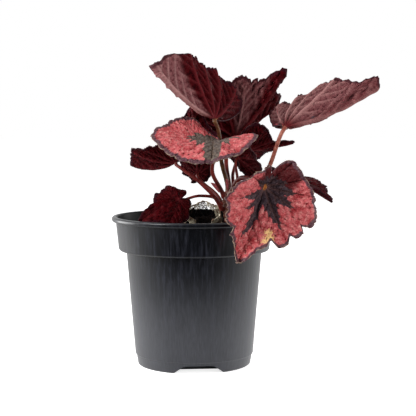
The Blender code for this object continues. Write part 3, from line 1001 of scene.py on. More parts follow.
# ---------------------------------------------------------------------- plug
@dataclass
class Plug:
    """Peat plug that the plant was struck in, with its torn net sleeve."""

    radius: float = 12.2 * MM
    base_z: float = 107.2 * MM
    top_z: float = 118.0 * MM
    waves: tuple = ((0.10, 3.1), (0.06, 8.3), (0.04, 17.0))
    net_r: float = 14.0 * MM
    net_base_z: float = 107.7 * MM
    net_front_z: float = 112.0 * MM
    net_back_z: float = 127.2 * MM
    net_from: float = -62.0          # degrees; the sleeve is torn open just before it
    net_turn: float = 304.0
    strand: float = 0.70 * MM
    columns: int = 52
    rows: int = 11
    shake: float = 0.42              # of a mesh's width
    jitter: float = 0.22 * MM
    clean: float = 3.4               # mm below the rim that stay clean
    clean_right: float = 5.0         # and so much more on the right
    soiling: float = 2.4             # mm by which that wanders
    holes: float = 0.30              # noise above which the sleeve is torn away
    rim_steps: int = 60
    thread: tuple = (0.55 * MM, 0.25 * MM)       # radius, and how much of it tapers off
    seed: int = 5
    threads: tuple = (
        ((-6.6, -3, 116), (-8.8, -6, 113.6), (-12.4, -8, 111.6), (-15.5, -9, 108.9)),
        ((-6.2, -4, 114), (-9.0, -8, 110.8), (-10.0, -10, 107.6)),
        ((-7.4, -2, 118), (-7.9, -6, 115.2), (-6.4, -9.2, 111.5), (-7.6, -11, 107.4)),
        ((20.4, -5, 113), (23.5, -8, 111.4), (26.0, -12, 107.2)))

    def build_peat(self, material: Material) -> None:
        """Lumpy mound of peat.

        Args:
            material: The peat.
        """
        bm = bmesh.new()
        bmesh.ops.create_uvsphere(bm, u_segments=72, v_segments=44, radius=1.0)
        for vert in bm.verts:
            co = vert.co
            lump = 1 + lumps(co, self.waves)
            high = (self.top_z - self.base_z) * (0.98 if co.z > 0 else 0.12)
            vert.co = (PLUG_X + co.x * self.radius * lump * 0.95,
                       PLUG_Y + co.y * self.radius * lump * 0.95,
                       self.base_z + co.z * high * lump * 0.93)
        settle(finish_mesh("plug_peat", bm, material), "plug")

    def _sleeve(self, angle: float, t: float) -> Vector:
        """Point of the sleeve.

        Args:
            angle: Direction from the plug's middle.
            t: Fraction of the sleeve's height.

        Returns:
            The point.
        """
        back = 0.5 + 0.5 * math.sin(angle)
        top = (self.net_front_z + (self.net_back_z - self.net_front_z) * back ** 0.7
               + 0.8 * MM * math.sin(5 * angle))
        radius = (self.net_r + 0.5 * MM * math.sin(3 * angle + 4 * t)
                  - 1.6 * MM * t ** 3 * back)
        return Vector((PLUG_X + radius * math.cos(angle), PLUG_Y + radius * math.sin(angle),
                       self.net_base_z + (top - self.net_base_z) * t))

    def build_net(self, material: Material, buried: Material) -> None:
        """Torn sleeve of uneven mesh.

        Args:
            material: The clean netting near its rim.
            buried: The peat that hides it below.
        """
        bm = bmesh.new()
        bmesh.ops.create_grid(bm, x_segments=self.columns, y_segments=self.rows, size=0.5)
        bmesh.ops.poke(bm, faces=bm.faces)
        rng = np.random.default_rng(self.seed)
        for vert in bm.verts:
            s, t = vert.co.x + 0.5, vert.co.y + 0.5
            inside = 0.02 < s < 0.98 and 0.02 < t < 0.98
            shake = self.shake if inside else 0.0
            s += shake * (rng.random() - 0.5) / self.columns
            t += shake * (rng.random() - 0.5) / self.rows
            vert.co = self._sleeve(math.radians(self.net_from + self.net_turn * s), t)
            if inside:
                vert.co += Vector(rng.normal(size=3)) * self.jitter
        bmesh.ops.recalc_face_normals(bm, faces=bm.faces)
        for face in bm.faces:
            at = face.calc_center_median()
            rim = self._sleeve(math.atan2(at.y - PLUG_Y, at.x - PLUG_X), 1.0).z
            sunk = (rim - at.z) / MM + self.soiling * noise.noise(at * 300)
            clean = self.clean + self.clean_right * smooth(14 * MM, 20 * MM, at.x)
            face.material_index = int(sunk > clean)
        gone = [f for f in bm.faces if noise.noise(f.calc_center_median() * 420) > self.holes]
        bmesh.ops.delete(bm, geom=gone, context="FACES")
        net = finish_mesh("plug_netting", bm, material, buried, crease=50.0)
        mod = net.modifiers.new("strands", "WIREFRAME")
        mod.thickness = self.strand
        mod.use_boundary = True
        mod.use_even_offset = False
        settle(net, "plug_net")

    def build_strands(self, material: Material) -> None:
        """Rolled edge of the sleeve, and the loose threads beside it.

        Args:
            material: The netting.
        """
        bm = bmesh.new()
        rim, radii = [], []
        for i in range(self.rim_steps + 1):
            angle = math.radians(self.net_from + self.net_turn * i / self.rim_steps)
            wave = Vector((0, 0, 0.25 * MM * math.sin(2.3 * i)))
            rim.append(self._sleeve(angle, 1.0) + wave)
            radii.append((0.62 + 0.26 * math.sin(1.7 * i)) * MM)
        tube(bm, rim, radii, 8)
        for points in self.threads:
            path = curve_through([Vector(p) * MM for p in points], 6)
            thick, taper = self.thread
            tube(bm, path, [thick - taper * i / len(path) for i in range(len(path))], 8)
        settle(finish_mesh("net_threads", bm, material), "plug_net")


# --------------------------------------------------------------------- plant
@dataclass
class Rhizome:
    """Knobbly upright rhizome that the stalks spring from."""

    foot: tuple = (27.5, 1.0, 106.0)         # in the peat
    collar: tuple = (27.5, 1.0, 108.4)       # where it leaves the peat
    top: tuple = (26.5, 1.0, 137.0)
    radius: float = 4.6 * MM
    rings: int = 8
    steps: int = 44
    waves: tuple = ((0.22, 260.0), (0.10, 700.0))

    def at(self, height: float) -> Vector:
        """Middle of the rhizome at a height."""
        low, top = Vector(self.collar) * MM, Vector(self.top) * MM
        return low.lerp(top, (height - low.z) / (top.z - low.z))

    def build(self, material: Material) -> None:
        """Ringed, knotty stem with leaf scars.

        Args:
            material: Its bark.
        """
        bm = bmesh.new()
        foot, top = Vector(self.foot) * MM, Vector(self.top) * MM
        path, radii = [], []
        for i in range(self.steps + 1):
            t = i / self.steps
            sway = Vector((0.7 * math.sin(4.2 * t), 0.6 * math.cos(5.1 * t) - 0.6, 0)) * MM
            path.append(foot.lerp(top, t) + sway)
            ring = 0.07 * math.cos(t * 2 * math.pi * self.rings)
            radii.append(self.radius * (1.06 - 0.14 * t + ring) * (1 - 0.5 * max(t - 0.9, 0) * 8))
        tube(bm, path, radii, 24)
        for vert in bm.verts:
            core = self.at(vert.co.z)
            out = Vector((vert.co.x - core.x, vert.co.y - core.y, 0))
            vert.co += out * lumps(vert.co, self.waves)
        settle(finish_mesh("rhizome_stem", bm, material), "rhizome")


class LeafLook(Enum):
    """Which finish a leaf's upper face has."""

    RED = "red"
    GREY = "grey"
    DARK = "dark"
    WINE = "wine"


class StalkLook(Enum):
    """Which finish a stalk has."""

    RED = "red"
    TAN = "tan"
    # painted light: a lighter olive-brown skin for the stalk that faces the light
    OLIVE = "olive"


# Middle and spread of the front, side and basal lobe, in radians from the midrib.
LOBES = ((0.50, 0.42), (1.30, 0.52), (2.35, 0.60))
HALF_WIDTH = 0.62            # of a leaf's length


@dataclass(frozen=True)
class Leaf:
    """One leaf: angles in degrees, hub, stalk and length in millimetres."""

    name: str
    hub: tuple                   # where the stalk meets the blade
    heading: float               # 0 = +X, 90 = away from the front
    rise: float
    bank: float
    length: float                # hub to tip
    left: tuple                  # front, side and basal lobe, relative
    right: tuple
    fold: tuple                  # left and right half, up from flat
    curl: tuple                  # left and right margin, down
    droop: float
    twist: float
    socket: tuple                # stalk's foot on the rhizome: angle, height
    bulge: tuple                 # way point of the stalk
    stalk_r: float
    entry: float = 0.45          # how far the stalk comes in along the midrib
    look: LeafLook = LeafLook.DARK
    bark: StalkLook = StalkLook.RED
    angles: tuple = (-137, -97, -60, -29, 0, 29, 60, 97, 137)    # main veins
    rays: tuple = (0.42, 0.46, 0.50, 0.46, 0.48, 0.46, 0.50, 0.46, 0.42)   # star's arms
    spear: float = 0.070         # half width of an arm
    margin: tuple = (0.038, 0.012)   # depth of the scallops and of their teeth
    nicks: tuple = ()            # margin cuts: angle, depth (spurs below 0), half width
    ridges: tuple = ()           # creases: angle, height (below 0 under), half width
    gloom: float = 0.25          # strength of the painted shade on the basal lobes
    bloom: tuple = ()            # painted sheen of lit sectors below: from angle, to angle, strength
    scars: tuple = ()            # damaged spots: forward, left, radius

    def frame(self) -> tuple[np.ndarray, np.ndarray, np.ndarray]:
        """Turns the hub by heading, rise and bank.

        Returns:
            Directions of the midrib, of the left side and out of the upper face.
        """
        h, e, b = (math.radians(v) for v in (self.heading, self.rise, self.bank))
        mid = np.array([math.cos(e) * math.cos(h), math.cos(e) * math.sin(h), math.sin(e)])
        up = np.array([-math.sin(e) * math.cos(h), -math.sin(e) * math.sin(h), math.cos(e)])
        side = np.cross(up, mid)
        normal = math.cos(b) * up + math.sin(b) * side
        return mid, np.cross(normal, mid), normal

    def outline(self, phi: np.ndarray) -> np.ndarray:
        """Smooth margin: a heart with a drawn-out tip, its lobes scaled.

        Args:
            phi: Angles from the midrib, left of it above 0.

        Returns:
            Distances from the hub, relative to the length.
        """
        a = np.abs(phi)
        heart = (0.66 + 0.10 * np.cos(a) + 0.24 * np.exp(-(a / 0.22) ** 2)) * (
            1 - 0.88 * np.exp(-((math.pi - a) / 0.30) ** 2))
        weights = np.stack([np.exp(-((a - middle) / spread) ** 2)
                            for middle, spread in LOBES]) + 1e-7
        lobes = np.where(phi >= 0, np.array(self.left)[:, None], np.array(self.right)[:, None])
        factor = (weights * lobes).sum(0) / weights.sum(0)
        return heart * (1 + (factor - 1) * smooth(0.02, 0.30, a))

    def bent(self, flat: np.ndarray, lift: np.ndarray) -> np.ndarray:
        """Places flat leaf points in space: folded, curled, twisted and drooping.

        Args:
            flat: Forward and left distances from the hub, in metres.
            lift: Height of each point above the flat leaf.

        Returns:
            Points in the part's frame.
        """
        length = self.length * MM
        u, v = flat[:, 0], flat[:, 1]
        left = v >= 0
        fold = np.radians(np.where(left, *self.fold))
        curl = np.radians(np.where(left, *self.curl)) / (HALF_WIDTH * length)
        curl = np.where(np.abs(curl) < 1e-4, 1e-4, curl)
        slope = fold - curl * np.abs(v)
        y = ((np.sin(fold) - np.sin(slope)) / curl - lift * np.sin(slope)) * np.where(left, 1, -1)
        z = -(np.cos(fold) - np.cos(slope)) / curl + lift * np.cos(slope)
        twist = math.radians(self.twist) * u / length
        y, z = y * np.cos(twist) - z * np.sin(twist), y * np.sin(twist) + z * np.cos(twist)
        bend = math.radians(self.droop) / length
        bend = bend if abs(bend) > 1e-3 else 1e-3
        x = np.sin(bend * u) / bend + z * np.sin(bend * u)
        z = -(1 - np.cos(bend * u)) / bend + z * np.cos(bend * u)
        mid, side, normal = self.frame()
        hub = np.array(self.hub) * MM
        return hub + x[:, None] * mid + y[:, None] * side + z[:, None] * normal


@dataclass
class Veins:
    """Vein network of one flat leaf, in units of its length."""

    leaf: Leaf
    branch_turn: float = 37.0        # degrees between a main vein and its forks
    forks: int = 5                   # on each side of a main vein
    first: float = 0.22              # fraction along it of the first fork
    spacing: float = 0.155
    stagger: float = 0.07            # left forks over right ones
    last: float = 0.93
    longest: float = 0.40            # of the main vein
    outer_gap: float = 0.7           # radians beyond the outermost main veins
    wander: float = 0.012            # of the forks along their vein
    rib_foot: float = 0.016          # half width of a main vein at the hub
    rib_taper: float = 0.009
    fork_rib: float = 0.0095
    spread: float = 0.030            # how far the star's dark runs out along the forks
    spread_r: float = 0.012
    mains: list = field(default_factory=list)
    sides: list = field(default_factory=list)

    def __post_init__(self) -> None:
        """Lays out the main veins and their forks."""
        rng = np.random.default_rng(sum(map(ord, self.leaf.name)))
        headings = [math.radians(a + rng.normal()) for a in self.leaf.angles]
        turn = math.radians(self.branch_turn)
        for i, heading in enumerate(headings):
            reach = float(self.leaf.outline(np.array([heading]))[0])
            self.mains.append((heading, reach))
            for s in (-1, 1):
                j = i + s
                gap = abs(headings[j] - heading) if 0 <= j < len(headings) else self.outer_gap
                for k in range(self.forks):
                    t = (self.first + self.spacing * k + (self.stagger if s > 0 else 0.0)
                         + rng.normal() * self.wander)
                    if t > self.last:
                        continue
                    start = t * reach
                    half = max(turn - gap / 2, 0.15)
                    span = min(start * math.sin(gap / 2) / math.sin(half), self.longest * reach)
                    a = np.array([start * math.cos(heading), start * math.sin(heading)])
                    go = heading + s * turn
                    b = a + span * 1.05 * np.array([math.cos(go), math.sin(go)])
                    self.sides.append((a, b))

    @staticmethod
    def _segment(points: np.ndarray, a: np.ndarray, b: np.ndarray) -> tuple[np.ndarray, np.ndarray]:
        """Measures points against a segment.

        Args:
            points: The points.
            a: Where it starts.
            b: Where it ends.

        Returns:
            Each point's distance and its fraction along the segment.
        """
        along = b - a
        t = np.clip(((points - a) @ along) / (along @ along), 0, 1)
        return np.linalg.norm(points - a - t[:, None] * along, axis=1), t

    def measure(self, points: np.ndarray) -> dict[str, np.ndarray]:
        """Finds what the veins do at flat points.

        Args:
            points: Forward and left, relative to the length.

        Returns:
            Distance to a main vein (main) and to any (any), height of the
            ribs (rib) and depth inside the star (star).
        """
        main = np.full(len(points), 9.0)
        fine = np.full(len(points), 9.0)
        rib = np.zeros(len(points))
        star = np.full(len(points), -9.0)
        for (heading, reach), ray in zip(self.mains, self.leaf.rays):
            tip = reach * np.array([math.cos(heading), math.sin(heading)])
            d, t = self._segment(points, np.zeros(2), tip)
            main = np.minimum(main, d)
            rib = np.maximum(rib, np.exp(-(d / (self.rib_foot - self.rib_taper * t)) ** 2))
            width = self.leaf.spear * np.clip(1 - (t / ray) ** 3.0, -2, 1)
            star = np.maximum(star, width - d)
        for a, b in self.sides:
            d, t = self._segment(points, a, b)
            fine = np.minimum(fine, d + 0.004 * t)
            rib = np.maximum(rib, 0.7 * np.exp(-(d / self.fork_rib) ** 2) * (1 - 0.5 * t))
        star = star + self.spread * np.exp(-(fine / self.spread_r) ** 2)
        return {"main": main, "any": np.minimum(main, fine), "rib": rib, "star": star}


@dataclass(frozen=True)
class Spots:
    """Where a blade's vertices lie on the flat leaf."""

    phi: np.ndarray              # angle from the midrib
    rho: np.ndarray              # 0 at the hub, 1 at the margin
    flat: np.ndarray             # forward and left, relative to the length
    veins: dict                  # what Veins.measure finds there


@dataclass
class Blade:
    """A leaf's sheet: toothed margin, quilted between its veins."""

    leaf: Leaf
    veins: Veins
    rings: int = 46
    spokes: tuple = (140, 3.2)       # how many, and more for each mm of length
    crowding: float = 0.9            # below 1, rings are closer near the margin
    thickness: float = 0.60 * MM
    scallop: float = 8.0             # mm of margin
    quilt: float = 0.056             # heights of the relief, relative to the length
    pucker: float = 0.014
    ruffle: float = 0.020
    crumple: float = 0.012
    sink: float = 0.020              # of the veins below the quilting
    border: float = 6.5 * MM         # width of the dark border
    hub_r: float = 0.045
    star_edge: float = 0.09          # softness of the star's painted edge
    give: float = 4.0 * MM           # at the faces of the solids' box

    def _margin(self, phi: np.ndarray, rng: np.random.Generator) -> np.ndarray:
        """Scallops, sharp notches, teeth and nicks of the margin.

        Args:
            phi: Angles from the midrib.
            rng: Source of the scallops' sizes.

        Returns:
            Factor on the margin's distance at each angle.
        """
        turn = np.linspace(-math.pi, math.pi, 2001)
        r = self.leaf.outline(turn)
        run = np.hypot(np.gradient(r, turn), r)
        arc = np.concatenate([[0], np.cumsum((run[1:] + run[:-1]) / 2 * np.diff(turn))])
        count = round(arc[-1] * self.leaf.length / self.scallop)
        place_on = np.interp(phi, turn, arc / arc[-1])
        wander = np.cumsum(rng.uniform(0.55, 1.45, count))
        knots = np.concatenate([[0], wander / wander[-1]])
        index = np.clip(np.searchsorted(knots, place_on, "right") - 1, 0, count - 1)
        inside = (place_on - knots[index]) / (knots[index + 1] - knots[index])
        depth = rng.uniform(0.35, 1.3, count)[index]
        bump = np.sqrt(np.clip(1 - (2 * inside - 1) ** 2, 0, 1))
        teeth = np.abs(((inside * 3.0) % 1.0) - 0.5) * 2
        tooth_size = rng.uniform(0.2, 1.3, count)[index]
        scallop_depth, tooth_depth = self.leaf.margin
        factor = (1 + scallop_depth * depth * (bump - 0.75)
                  + tooth_depth * tooth_size * (0.4 - teeth))
        for angle, cut, half in self.leaf.nicks:
            away = np.abs(np.degrees(phi) - angle) / half
            factor -= cut * (np.clip(1 - away, 0, 1) if cut > 0 else np.exp(-away ** 2))
        return factor

    def _lift(self, at: Spots, rng: np.random.Generator) -> np.ndarray:
        """Relief of the sheet: quilting, puckers, ruffled margin, creases and veins.

        Args:
            at: The blade's vertices.
            rng: Source of the ruffles.

        Returns:
            Height of each vertex, relative to the length.
        """
        phi, rho = at.phi, at.rho
        inner = smooth(0.04, 0.35, rho)
        quilt = self.quilt * np.clip(at.veins["main"] / 0.15, 0, 1) ** 0.8 * inner
        pucker = self.pucker * np.clip(at.veins["any"] / 0.045, 0, 1) ** 0.8 * inner
        waves = np.sin(phi * 9 + rng.random() * 6) * 0.6 + np.sin(phi * 17 + rng.random() * 6) * 0.5
        ruffle = self.ruffle * rho ** 5 * waves
        crumple = np.array([noise.noise(Vector((u * 9, v * 9, self.leaf.length)))
                            for u, v in at.flat]) * self.crumple * inner
        sink = self.sink * at.veins["rib"] * smooth(0.02, 0.2, rho)
        crease = sum((height * rho * np.clip(1 - np.abs(np.degrees(phi) - angle) / half, 0, 1)
                      for angle, height, half in self.leaf.ridges), np.zeros(len(phi)))
        return quilt * (1 - 0.5 * rho ** 4) + pucker + ruffle + crumple + crease - sink

    def _paint(self, mesh: bpy.types.Mesh, at: Spots) -> None:
        """Paints the masks that the finishes read.

        Args:
            mesh: The blade's mesh.
            at: Its vertices.
        """
        phi, rho, flat = at.phi, at.rho, at.flat
        length = self.leaf.length * MM
        star = np.clip(0.5 + at.veins["star"] / self.star_edge, 0, 1)
        border = np.clip(1 - (1 - rho) * self.leaf.outline(phi) * length / self.border, 0, 1)
        bloom, scar = np.zeros(len(phi)), np.zeros(len(phi))
        # painted sheen: sectors of the lower face drawn greyer, as if lit
        for start, end, strength in self.leaf.bloom:
            sector = (smooth(-2.5, 2.5, np.degrees(phi) - start)
                      * smooth(-2.5, 2.5, end - np.degrees(phi)))
            bloom = np.maximum(bloom, strength * sector * smooth(0.05, 0.25, rho))
        hub_mark = np.exp(-(np.hypot(*flat.T) / self.hub_r) ** 2)
        # painted shade: basal lobes darker, more so towards the hub; kept in the zones' second
        # channel
        gloom = self.leaf.gloom * smooth(1.75, 2.55, np.abs(phi) + 0.9 * (1 - rho))
        for forward, left, radius in self.leaf.scars:
            away = np.hypot(flat[:, 0] - forward, flat[:, 1] - left)
            scar = np.maximum(scar, np.clip(1 - away / radius * 0.5, 0, 1))
        # the alpha of the marks holds the painted sheen
        for name, parts in (("marks", (at.veins["rib"], star, border, bloom)),
                            ("zones", (hub_mark, gloom, scar, np.ones(len(phi))))):
            data = np.stack(parts, 1).astype(np.float32)
            mesh.attributes.new(name, "FLOAT_COLOR", "POINT").data.foreach_set(
                "color", data.ravel())

    def build(self, upper: Material, under: Material, slot: str) -> None:
        """Models the sheet and paints its marks.

        Args:
            upper: Finish of the upper face.
            under: Finish of the lower face.
            slot: Not used.
        """
        bm = bmesh.new()
        spokes = self.spokes[0] + round(self.spokes[1] * self.leaf.length)
        bmesh.ops.create_circle(bm, cap_ends=True, cap_tris=True, segments=spokes, radius=1.0)
        radial = [e for e in bm.edges if any(v.co.length < 0.5 for v in e.verts)]
        bmesh.ops.subdivide_edges(bm, edges=radial, cuts=self.rings - 1, use_grid_fill=True)
        disc = np.array([v.co[:] for v in bm.verts])
        step = 2 * math.pi / spokes
        phi = np.round(np.arctan2(disc[:, 1], disc[:, 0]) / step) * step
        phi = np.clip(phi, -math.pi + 1e-4, math.pi - 1e-4)
        ring = np.round(np.hypot(disc[:, 0], disc[:, 1]) * self.rings)
        rho = (ring / self.rings) ** self.crowding
        rng = np.random.default_rng(sum(map(ord, self.leaf.name)) * 7 + 1)
        reach = self.leaf.outline(phi) * rho
        reach = reach * (1 + (self._margin(phi, rng) - 1) * smooth(0.55, 1.0, rho))
        flat = np.stack([reach * np.cos(phi), reach * np.sin(phi)], 1)
        at = Spots(phi, rho, flat, self.veins.measure(flat))
        length = self.leaf.length * MM
        lift = self._lift(at, rng) * length
        if next(iter(bm.faces)).normal.z < 0:
            bmesh.ops.reverse_faces(bm, faces=bm.faces)
        for vert, point in zip(bm.verts, within(self.leaf.bent(flat * length, lift), self.give)):
            vert.co = point
        bm.normal_update()
        uv = bm.loops.layers.uv.new("flat")
        bm.verts.index_update()
        for face in bm.faces:
            for loop in face.loops:
                u, v = flat[loop.vert.index] * length * FLAT_UV
                loop[uv].uv = (0.5 + u, 0.5 + v)
        blade = finish_mesh("leaf_" + self.leaf.name, bm, upper, under, crease=None)
        blade.data.shade_smooth()
        self._paint(blade.data, at)
        mod = blade.modifiers.new("thickness", "SOLIDIFY")
        mod.thickness = self.thickness
        mod.offset = 0.0
        mod.use_even_offset = False
        mod.material_offset = 1
        settle(blade, "blade_" + self.leaf.name)


@dataclass
class Stalk:
    """A leaf's stalk, from its swollen foot to the blade's hub."""

    leaf: Leaf
    rhizome: Rhizome
    steps: int = 14
    gap: float = 0.3 * MM            # from the rhizome's skin
    below_hub: float = 0.85 * MM     # where the last bend ends, under the blade
    steepness: float = 0.9           # how far it comes in along the blade's normal
    sides: int = 14

    def path(self) -> list[Vector]:
        """Leads the stalk up, past its way point and in under the blade.

        Returns:
            Points from inside the rhizome to the blade.
        """
        leaf = self.leaf
        angle, height = math.radians(leaf.socket[0]), leaf.socket[1] * MM
        radius = leaf.stalk_r * MM
        out = Vector((math.cos(angle), math.sin(angle), 0))
        core = self.rhizome.at(height)
        foot = core + out * (self.rhizome.radius * 1.05 + radius + self.gap)
        mid, _, normal = leaf.frame()
        down = Vector(-self.steepness * normal - leaf.entry * mid).normalized()
        hub = Vector(leaf.hub) * MM
        lean = leaf.entry / math.hypot(self.steepness, leaf.entry)
        end = hub - Vector(normal) * (self.below_hub + 0.82 * lean * radius)
        way = Vector(leaf.bulge) * MM
        span, reach = (way - foot).length, (end - way).length
        up = (out * 0.45 + Vector((0, 0, 0.9))).normalized()
        tangent = (end - foot).normalized()
        points = [core - Vector((0, 0, 1.5 * MM)), core.lerp(foot, 0.6) - Vector((0, 0, 0.6 * MM))]
        for a, b, c, d in ((foot, foot + up * span * 0.4, way - tangent * span * 0.33, way),
                           (way, way + tangent * reach * 0.33, end + down * reach * 0.28, end)):
            for i in range(self.steps + 1):
                s = i / self.steps
                points.append(a * (1 - s) ** 3 + b * 3 * s * (1 - s) ** 2
                              + c * 3 * s * s * (1 - s) + d * s ** 3)
            if d is way:
                points.pop()
        points.append(hub - Vector(normal) * 0.25 * MM)
        return points

    def build(self, material: Material) -> None:
        """Tapering stalk, swollen at its foot and flared under the blade.

        Args:
            material: Its skin.
        """
        points = self.path()
        last = len(points) - 1
        radii = []
        for i in range(last + 1):
            t = i / last
            swell = 0.30 * math.exp(-(t / 0.10) ** 2) + 0.16 * math.exp(-((1 - t) / 0.05) ** 2)
            radii.append(self.leaf.stalk_r * MM * (1.10 - 0.26 * t + swell))
        bm = bmesh.new()
        tube(bm, points, radii, self.sides)
        settle(finish_mesh("petiole_" + self.leaf.name, bm, material),
               "stalk_" + self.leaf.name)


@dataclass
class Bracts:
    """Two papery bracts left at the crown."""

    left: tuple = ((20.2, 1.2, 136.5), (13.2, 3.6, 143.5), 1.2)      # foot, tip, half width
    right: tuple = ((26.6, -0.4, 138.8), (25.6, -3.4, 147.0), 1.1)
    thickness: float = 0.35 * MM
    arch: float = 1.2 * MM
    hollow: float = 0.55 * MM
    wave: float = 0.25 * MM

    def build(self, material: Material) -> None:
        """Thin pointed scales, hollowed along their middle.

        Args:
            material: Their papery finish.
        """
        for name, (foot, tip, width) in (("left", self.left), ("right", self.right)):
            a, b = Vector(foot) * MM, Vector(tip) * MM
            bm = bmesh.new()
            bmesh.ops.create_grid(bm, x_segments=14, y_segments=24, size=0.5)
            along = (b - a).normalized()
            side = along.cross(Vector((0.2, -1, 0.1))).normalized()
            face = side.cross(along)
            for vert in bm.verts:
                s, t = vert.co.x * 2, vert.co.y + 0.5
                wide = width * MM * (0.75 + 0.5 * math.sin(math.pi * t)) * (1 - t ** 4 * 0.92)
                crest = self.arch * math.sin(math.pi * t) + self.hollow * s * s
                vert.co = (a.lerp(b, t) + side * s * wide + Vector((0, 0, 1)) * crest * 0.8
                           + face * self.wave * math.sin(9 * t + 3 * s))
            bmesh.ops.solidify(bm, geom=bm.faces, thickness=self.thickness)
            settle(finish_mesh("bract_" + name, bm, material), "stipule_" + name)


# Each leaf's sheen sectors are painted light on its lower face.
LEAVES = (
    Leaf("upper_left", (16.1, -12.3, 194.2), 225, 17, -18, 74, (1.23, 0.93, 1.07),
         (0.96, 0.8, 0.43), (70, 43), (-44, -5), -37, -6, (88, 136.5), (21.9, 5.7, 158.9), 1.7,
         1.07, bark=StalkLook.OLIVE, margin=(0.034, 0.010),
         nicks=((46, 0.08, 4), (61, 0.06, 3.5), (88, 0.04, 3.5), (112, 0.04, 3),
                (160, -0.16, 12), (-46, -0.05, 3)), ridges=((20, -0.12, 34),),
         bloom=((-160, 18, 0.95), (74, 84, 0.25))),
    Leaf("upper_middle", (33, 39.1, 178.1), -18, 42, 31, 67, (0.98, 0.74, 0.5), (0.99, 1.12, 0.75),
         (34, 38), (-12, 58), -28, -21, (77, 126.7), (25.8, 27.6, 162.5), 1.8, 1.06,
         margin=(0.050, 0.034),
         nicks=((-38, -0.05, 3), (-33, -0.11, 4), (-27, -0.06, 3), (-18.5, -0.04, 2.5),
                (-11, 0.05, 3), (0, -0.06, 2.5), (9, 0.05, 3), (23, -0.13, 5), (38, -0.07, 5)),
         ridges=((-26, -0.05, 16), (-6, -0.05, 14), (34, -0.05, 22)),
         bloom=((-46, -8, 0.55),)),
    Leaf("far_right", (71.6, -5.8, 187.9), -45, 9, 50, 87, (0.74, 0.60, 0.72), (1.01, 0.9, 0.77),
         (50, 64), (-28, -64), -45, 8, (-2, 127.4), (56.3, -6.6, 152), 1.8, 0.15,
         bark=StalkLook.TAN, margin=(0.040, 0.018),
         nicks=((-135, -0.12, 10), (-100, 0.18, 10), (-30, 0.06, 10), (-6, -0.07, 3.5),
                (6.5, -0.07, 3.5)), ridges=((-13, -0.045, 20), (-45, -0.050, 24)),
         bloom=((-178, -8, 0.72), (-8, 178, 0.42))),
    Leaf("left_red", (14.4, -28, 175.8), 193, 1, -59, 48, (1.18, 1.18, 1.28), (1.2, 1.25, 0.6),
         (-40, 63), (61, -25), -21, -26, (240, 133.2), (14.4, -19, 153.1), 1.6, 0.56,
         look=LeafLook.GREY, angles=(-137, -97, -60, -29, 0, 27, 52, 78, 106, 137),
         rays=(0.80, 0.80, 0.58, 0.54, 0.56, 0.50, 0.56, 1.25, 0.62, 0.66),
         spear=0.13, margin=(0.045, 0.014), gloom=0.0),
    Leaf("front_red", (53, -52, 144.1), -170, -71, 75, 63, (1.07, 1.06, 0.81), (1.08, 1.24, 0.6),
         (26, 75), (52, 5), -28, 24, (-64, 136.5), (37.4, -18.4, 149), 1.9, 0.29,
         look=LeafLook.RED, angles=(-135, -98, -64, -40, -13, 2, 40, 73, 96, 120, 148),
         rays=(0.50, 0.50, 0.62, 0.54, 0.78, 0.78, 0.72, 0.60, 0.62, 0.56, 0.45), spear=0.078,
         # this leaf's basal lobes carry strong painted shade
         margin=(0.040, 0.012), gloom=0.95, ridges=((2, 0.05, 26),),
         nicks=((-120, -0.12, 22), (-83, -0.08, 9), (-28, 0.09, 4), (-23, -0.04, 5),
                (-9, -0.09, 5), (9, -0.10, 5), (28, 0.12, 4), (35, -0.07, 5), (46, 0.09, 4),
                (62, 0.12, 4), (76, -0.06, 9), (90, 0.05, 3), (158, -0.10, 14)),
         scars=((0.55, 0.28, 0.045), (0.62, 0.31, 0.05), (0.68, 0.28, 0.035))),
    Leaf("far_left", (-14.3, -5.4, 159.9), 150, -24, -16, 47, (1.2, 0.82, 1.02),
         (1.06, 0.93, 0.88), (35, 35), (39, -4), -41, 14, (215, 123.6), (6.8, -10.4, 142.9), 1.5,
         0.68),
    Leaf("low_left", (-11, -17.4, 132.1), 234, -7, 43, 42, (1, 0.7, 0.5), (0.72, 0.55, 0.9),
         (-1, -4), (40, 52), 45, 9, (171, 127.7), (5.5, -1.6, 133.7), 1.2, 1.7,
         look=LeafLook.WINE, nicks=((106, 0.34, 48),)),
    Leaf("back_left", (2.9, 23.1, 149.5), 253, 71, 0, 58, (0.91, 0.3, 0.28), (1.01, 0.48, 0.33),
         (20, 25), (9, 9), -8, 0, (135, 126.3), (3.9, 19.6, 145.5), 1.3, 1.62),
    Leaf("back_right", (39.5, 34, 168.5), 4, 1, -10, 43, (0.84, 1.02, 0.95), (0.82, 1.25, 0.68),
         (-12, 28), (28, -25), -13, -12, (55, 133.1), (31.3, 19, 151.2), 1.4, 0.93),
    Leaf("inner", (34.6, -4, 163.6), -40, -25, 54, 30, (0.99, 1, 0.95), (1.09, 1.04, 0.92),
         (19, 17), (23, 27), 15, -6, (-27, 134.6), (34.1, -4.9, 146.3), 1.2, 0.05),
    Leaf("right_tip", (77.8, 6, 144.9), -32, -16, 10, 39, (0.97, 1.04, 0.95), (0.95, 1.05, 0.95),
         (18, 18), (11, 15), 16, 0, (20, 121), (43.7, 5.5, 132.2), 1.3, 1.13,
         look=LeafLook.WINE, margin=(0.05, 0.03)),
)


# -------------------------------------------------------------------- studio
@dataclass(frozen=True)
class FloorWhite(Finish):
    """Matt white that glows for the camera alone."""

    name: str = "studio_floor"
    white: float = 0.86
    glow: float = 0.78
    rough: float = 0.9

    def paint(self, g: Graph, effects: Effects) -> dict[str, object]:
        """White floor without gloss."""
        seen = g.node("LightPath").outputs["Is Camera Ray"]
        return dict(Base_Color=(self.white, self.white, self.white, 1.0), Roughness=self.rough,
                    Specular_IOR_Level=0.0, Emission_Color=(1.0, 1.0, 1.0, 1.0),
                    Emission_Strength=g.times(seen, self.glow))


